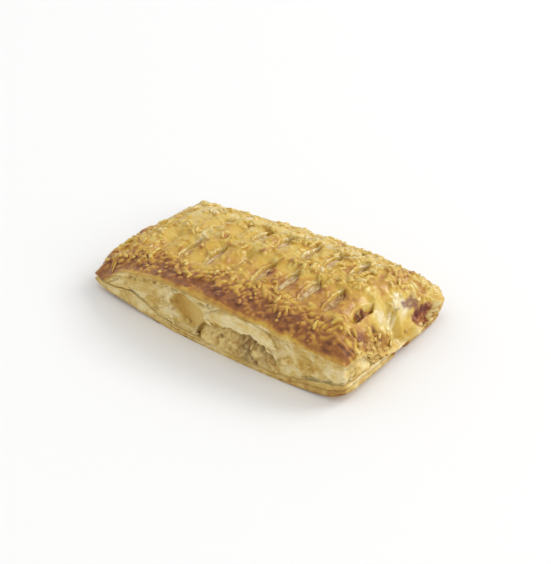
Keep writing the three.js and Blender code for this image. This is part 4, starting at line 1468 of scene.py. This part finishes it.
# %% Scatter the shreds
def shreds(finish):
    tree = Scatter("cheese_shreds", {
        "Per square metre": 270000.0, "Spacing": 0.0015, "Shortest": 0.0022, "Longest": 0.0050, "Bend": 0.34,
        "Thinnest": 0.0013, "Thickest": 0.0021, "Taper": 0.5, "Raised": 0.2, "Uneven": 0.0009,
        "Lumps per metre": 650.0, "Ray start": 0.012, "Ray length": 0.0145, "Steps": 6, "Sides": 6, "Seed": 7,
        "Finish": finish,
    })
    line = tree.add("GeometryNodeCurveQuadraticBezier", None, {
        "Resolution": tree.size("Steps"), "Start": (-0.5, 0, 0), "Middle": (0, 1, 0), "End": (0.5, 0, 0),
    })["Curve"]
    length = tree.random(tree.size("Shortest"), tree.size("Longest"), 1)
    bend = length * tree.size("Bend") * tree.random(-1.0, 1.0, 2)
    scale = tree.vector(length, bend, length)
    placed = tree.place(tree.spread("strewn")["Points"], line, tree.any_turn(3), scale)
    toned = tree.keep(placed, "tone", tree.random(0.0, 1.0, 4))
    sized = tree.keep(toned, "width", tree.random(tree.size("Thinnest"), tree.size("Thickest"), 5))
    here = tree.add("GeometryNodeInputPosition")["Position"]
    hit = tree.add("GeometryNodeRaycast", None, {
        "Target Geometry": tree.crust, "Ray Direction": (0, 0, -1), "Ray Length": tree.size("Ray length"),
        "Source Position": tree.push(here, (0, 0, 1), tree.size("Ray start")),
    })
    width = tree.attribute("width")
    resting = tree.push(hit["Hit Position"], (0, 0, 1), width * tree.size("Raised"))
    laid = tree.add("GeometryNodeSetPosition", None, {
        "Geometry": tree.realize(sized), "Selection": hit["Is Hit"], "Position": resting,
    })["Geometry"]
    share = tree.add("GeometryNodeSplineParameter")["Factor"]
    taper = 1.0 - (2.0 * share - 1.0) ** 2.0 * tree.size("Taper")
    sockets = {"Resolution": tree.size("Sides"), "Radius": 0.5}
    section = tree.add("GeometryNodeCurvePrimitiveCircle", None, sockets)["Curve"]
    swept = tree.add("GeometryNodeCurveToMesh", None, {
        "Curve": laid, "Profile Curve": section, "Scale": width * taper, "Fill Caps": True,
    })["Mesh"]
    sockets = {"Vector": here, "Scale": tree.size("Lumps per metre"), "Detail": 1.0}
    lumpy = tree.add("ShaderNodeTexNoise", None, sockets)["Color"]
    sockets = {0: lumpy, 1: (0.5, 0.5, 0.5)}
    centred = tree.add("ShaderNodeVectorMath", {"operation": "SUBTRACT"}, sockets)[0]
    shift = tree.push((0, 0, 0), centred, tree.size("Uneven"))
    sockets = {"Geometry": swept, "Offset": shift}
    return tree.run(tree.add("GeometryNodeSetPosition", None, sockets)["Geometry"])


cheese_shreds = shreds(cheese)

# %% Scatter the grains
def grains(finish):
    tree = Scatter("cheese_grains", {
        "Per square metre": 90000.0, "Spacing": 0.0019, "Smallest": 0.0005, "Largest": 0.0011,
        "Least stretch": 0.9, "Most stretch": 2.2, "Squash": 0.7, "Segments": 8, "Rings": 5, "Seed": 19,
        "Finish": finish,
    })
    size = tree.random(tree.size("Smallest"), tree.size("Largest"), 1)
    stretch = tree.random(tree.size("Least stretch"), tree.size("Most stretch"), 2)
    scale = tree.vector(size * stretch, size, size * tree.size("Squash"))
    placed = tree.place(tree.spread("cheese")["Points"], tree.ball(1.0), tree.any_turn(3), scale)
    return tree.run(tree.keep(placed, "tone", tree.random(0.0, 1.0, 4)))


cheese_grains = grains(cheese)

# %% [markdown]
# ## Loose flakes
# Where the dough tore, thin flakes stand off it. They are scattered like the grains, but each one is a
# squashed ball with shifted points, laid flat on the side and then tipped a little. Single planes would
# be thinner, but a squashed ball is closed and catches light on its edge.

# %% The flakes' finish
def flake_finish():
    f = Finish("loose_flake")
    bake = f.mask("bake") * 0.7 + f.mask("tone") * 0.2 + (f.noise(700, 3) - 0.5) * 0.2 - 0.08
    return f.surface({
        "Base Color": f.ramp(bake, DRY_STOPS), "Roughness": 0.6,
        "Normal": f.bump(f.noise(1100, 3), 0.0004, 0.7),
    })


dry_flake = flake_finish()
print("finish", dry_flake.name, "with", len(dry_flake.node_tree.nodes), "nodes")

# %% Scatter the flakes
FLAKE_TURNS = [(-0.5, 0.2, 3), (-0.25, 0.25, 7), (-0.5, 0.5, 8)]


def flakes(finish):
    tree = Scatter("torn_flakes", {
        "Per square metre": 150000.0, "Spacing": 0.0013, "Shortest": 0.0018, "Longest": 0.0046,
        "Narrowest": 0.35, "Widest": 0.65, "Thickness": 0.0006, "Shift": 0.28, "Segments": 7, "Rings": 5,
        "Seed": 31, "Finish": finish,
    })
    shift = tree.vector(*[tree.random(-0.5, 0.5, draw) * tree.size("Shift") for draw in (5, 6)], 0.0)
    sockets = {"Geometry": tree.ball(0.5), "Offset": shift}
    chip = tree.add("GeometryNodeSetPosition", None, sockets)["Geometry"]
    length = tree.random(tree.size("Shortest"), tree.size("Longest"), 1)
    width = tree.random(tree.size("Narrowest"), tree.size("Widest"), 2)
    scale = tree.vector(length, length * width, tree.size("Thickness"))
    spread = tree.spread("flaky")
    placed = tree.place(spread["Points"], chip, spread["Rotation"], scale)
    tip = tree.vector(*[tree.random(*turn) for turn in FLAKE_TURNS])
    sockets = {"Instances": placed, "Rotation": tip}
    tipped = tree.add("GeometryNodeRotateInstances", None, sockets)["Instances"]
    return tree.run(tree.keep(tipped, "tone", tree.random(0.0, 1.0, 4)))


torn_flakes = flakes(dry_flake)

# %% [markdown]
# ## Melted together
# Cheese melts into the crust and lets out fat as it bakes, so the crust rises to meet each shred and is
# darker close beside it, partly browner and partly painted shade. A tree of the cheese's points finds the
# nearest one to each point of the crust.
# The distance lifts the crust there, which hides the seam round each shred, and becomes one more mask for
# the crust's finish. A Remesh modifier could fuse the pieces, but it would lose the masks.

# %% Melt the cheese into the crust
# How far from the cheese the crust is darkened, partly browning and partly painted shade.
SHADE_AND_BROWNING_REACH = (0.45, 1.5)
MELTED = (0.2, 1.3)
MELT_HEIGHT = 0.42


def distance_to(piece, neighbours):
    """How far each point of a piece is from the nearest point of its neighbours, in millimetres."""
    places = [vertex.co for neighbour in neighbours for vertex in neighbour.data.vertices]
    tree = KDTree(len(places))
    for number, place in enumerate(places):
        tree.insert(place, number)
    tree.balance()
    return np.array([tree.find(vertex.co)[2] for vertex in piece.data.vertices]) / MM


def melt(piece, amount):
    """Lifts each point of a piece along its normal by its amount in millimetres."""
    places = np.empty(3 * len(piece.data.vertices), np.float32)
    normals = places.copy()
    piece.data.vertices.foreach_get("co", places)
    piece.data.vertex_normals.foreach_get("vector", normals)
    piece.data.vertices.foreach_set("co", places + normals * np.repeat(amount * MM, 3).astype(np.float32))
    piece.data.update()


distance = distance_to(crust, [cheese_shreds, cheese_grains])
melt(crust, MELT_HEIGHT * fade(distance, *MELTED))
fried = fade(distance, *SHADE_AND_BROWNING_REACH)
crust.data.attributes.new("fried", "FLOAT", "POINT").data.foreach_set("value", fried.astype(np.float32))
print("browned beside cheese:", round(100 * float(fried.mean())), "% of the crust's points")

# %% [markdown]
# ## Into the frame
# The pastry is one body, so every piece rides on it. The two sheets and the filling take the place of
# their solids, which keep their job of resting and colliding. The scattered pieces lie on the crust.
# Joining all the pieces would be simpler, but then a solid could not be told from what lies on it.

# %% Hand the pieces to the frame
LAYERS = [
    (crust, "top_sheet", "crust"), (filling, "filling", "filling"), (base, "bottom_sheet", "base_crust"),
]
STREWN = [cheese_shreds, cheese_grains, torn_flakes]
for piece, node, slot in LAYERS:
    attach(piece, "root")
    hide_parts(node)
for piece in STREWN:
    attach(piece, "root")
print("in the place of solids:", [piece.name for piece, _, _ in LAYERS])
print("lying on the crust:", [piece.name for piece in STREWN])

# %% [markdown]
# ## Floor, light and camera
# The pastry lies on a white floor in soft light. A large lamp behind it on the right leaves its left a
# little darker, a smaller one on the right lights that end, a third makes the glaze shine, and a bright
# surround fills the rest. One bright sky would be quicker, but then the relief would look flat. The
# camera stands where the photograph was taken from, and its lens is given in pixels of that picture.

# %% Floor
FLOOR_SIZE = 12.0
FLOOR_COLOUR = (0.9, 0.9, 0.895, 1)
bpy.ops.mesh.primitive_plane_add(size=FLOOR_SIZE, location=(0, 0, 0))
floor = bpy.context.object
floor.name = "floor"
floor_finish = Finish("white_floor").surface({"Base Color": FLOOR_COLOUR, "Roughness": 0.7})
floor.data.materials.append(floor_finish)
print("floor", FLOOR_SIZE, "m wide")

# %% Light
SURROUND_STRENGTH = 0.81
LAMPS = [
    ("key", (1.9, 3.4, 3.1), 2.2, 90.0),
    ("right", (3.8, 0.3, 1.7), 1.6, 22.0),
    ("gloss", (2.9, 3.3, 2.45), 0.7, 16.0),
]
world = bpy.data.worlds.new("soft_surround")
bpy.context.scene.world = world
world.use_nodes = True
surround = world.node_tree.nodes["Background"]
surround.inputs["Color"].default_value = (1.0, 1.0, 1.0, 1)
surround.inputs["Strength"].default_value = SURROUND_STRENGTH


def soft_lamp(name, place, size, power):
    lamp = bpy.data.lights.new(name, "AREA")
    lamp.size = size
    lamp.energy = power
    lamp_object = bpy.data.objects.new(name, lamp)
    lamp_object.location = place
    lamp_object.rotation_mode = "QUATERNION"
    lamp_object.rotation_quaternion = (-Vector(place)).to_track_quat("-Z", "Y")
    bpy.context.scene.collection.objects.link(lamp_object)


for name, place, size, power in LAMPS:
    soft_lamp(name, place, size, power)
print("lamps", [name for name, _, _, _ in LAMPS])
bpy.context.scene.view_settings.view_transform = "Standard"

# %% Camera
PHOTO_SIZE = (551, 564)
AZIMUTH = math.radians(37.5)
ELEVATION = math.radians(35.33)
DISTANCE = 606.0
FOCAL_PIXELS = 1364.0
TARGET_PIXEL = (267.75, 274.6)
SENSOR_WIDTH = 36.0
NEAREST_SHOWN = 0.01
TARGET = Vector((0.0, SHIFT_Y, 14.0))

level = math.cos(ELEVATION)
backward = Vector((math.sin(AZIMUTH) * level, -math.cos(AZIMUTH) * level, math.sin(ELEVATION)))
rightward = Vector((math.cos(AZIMUTH), math.sin(AZIMUTH), 0.0))
upward = backward.cross(rightward)
per_pixel = DISTANCE / FOCAL_PIXELS
aim = TARGET + rightward * per_pixel * (PHOTO_SIZE[0] / 2 - TARGET_PIXEL[0])
aim = aim - upward * per_pixel * (PHOTO_SIZE[1] / 2 - TARGET_PIXEL[1])
stand = TARGET + backward * DISTANCE
camera = bpy.data.cameras.new("camera")
camera.sensor_width = SENSOR_WIDTH
camera.lens = SENSOR_WIDTH * FOCAL_PIXELS / max(PHOTO_SIZE)
camera.clip_start = NEAREST_SHOWN
camera_object = bpy.data.objects.new("camera", camera)
camera_object.location = stand * MM
camera_object.rotation_mode = "QUATERNION"
camera_object.rotation_quaternion = (aim - stand).to_track_quat("-Z", "Y")
bpy.context.scene.collection.objects.link(camera_object)
bpy.context.scene.camera = camera_object
print("camera lens", round(camera.lens, 2), "mm")
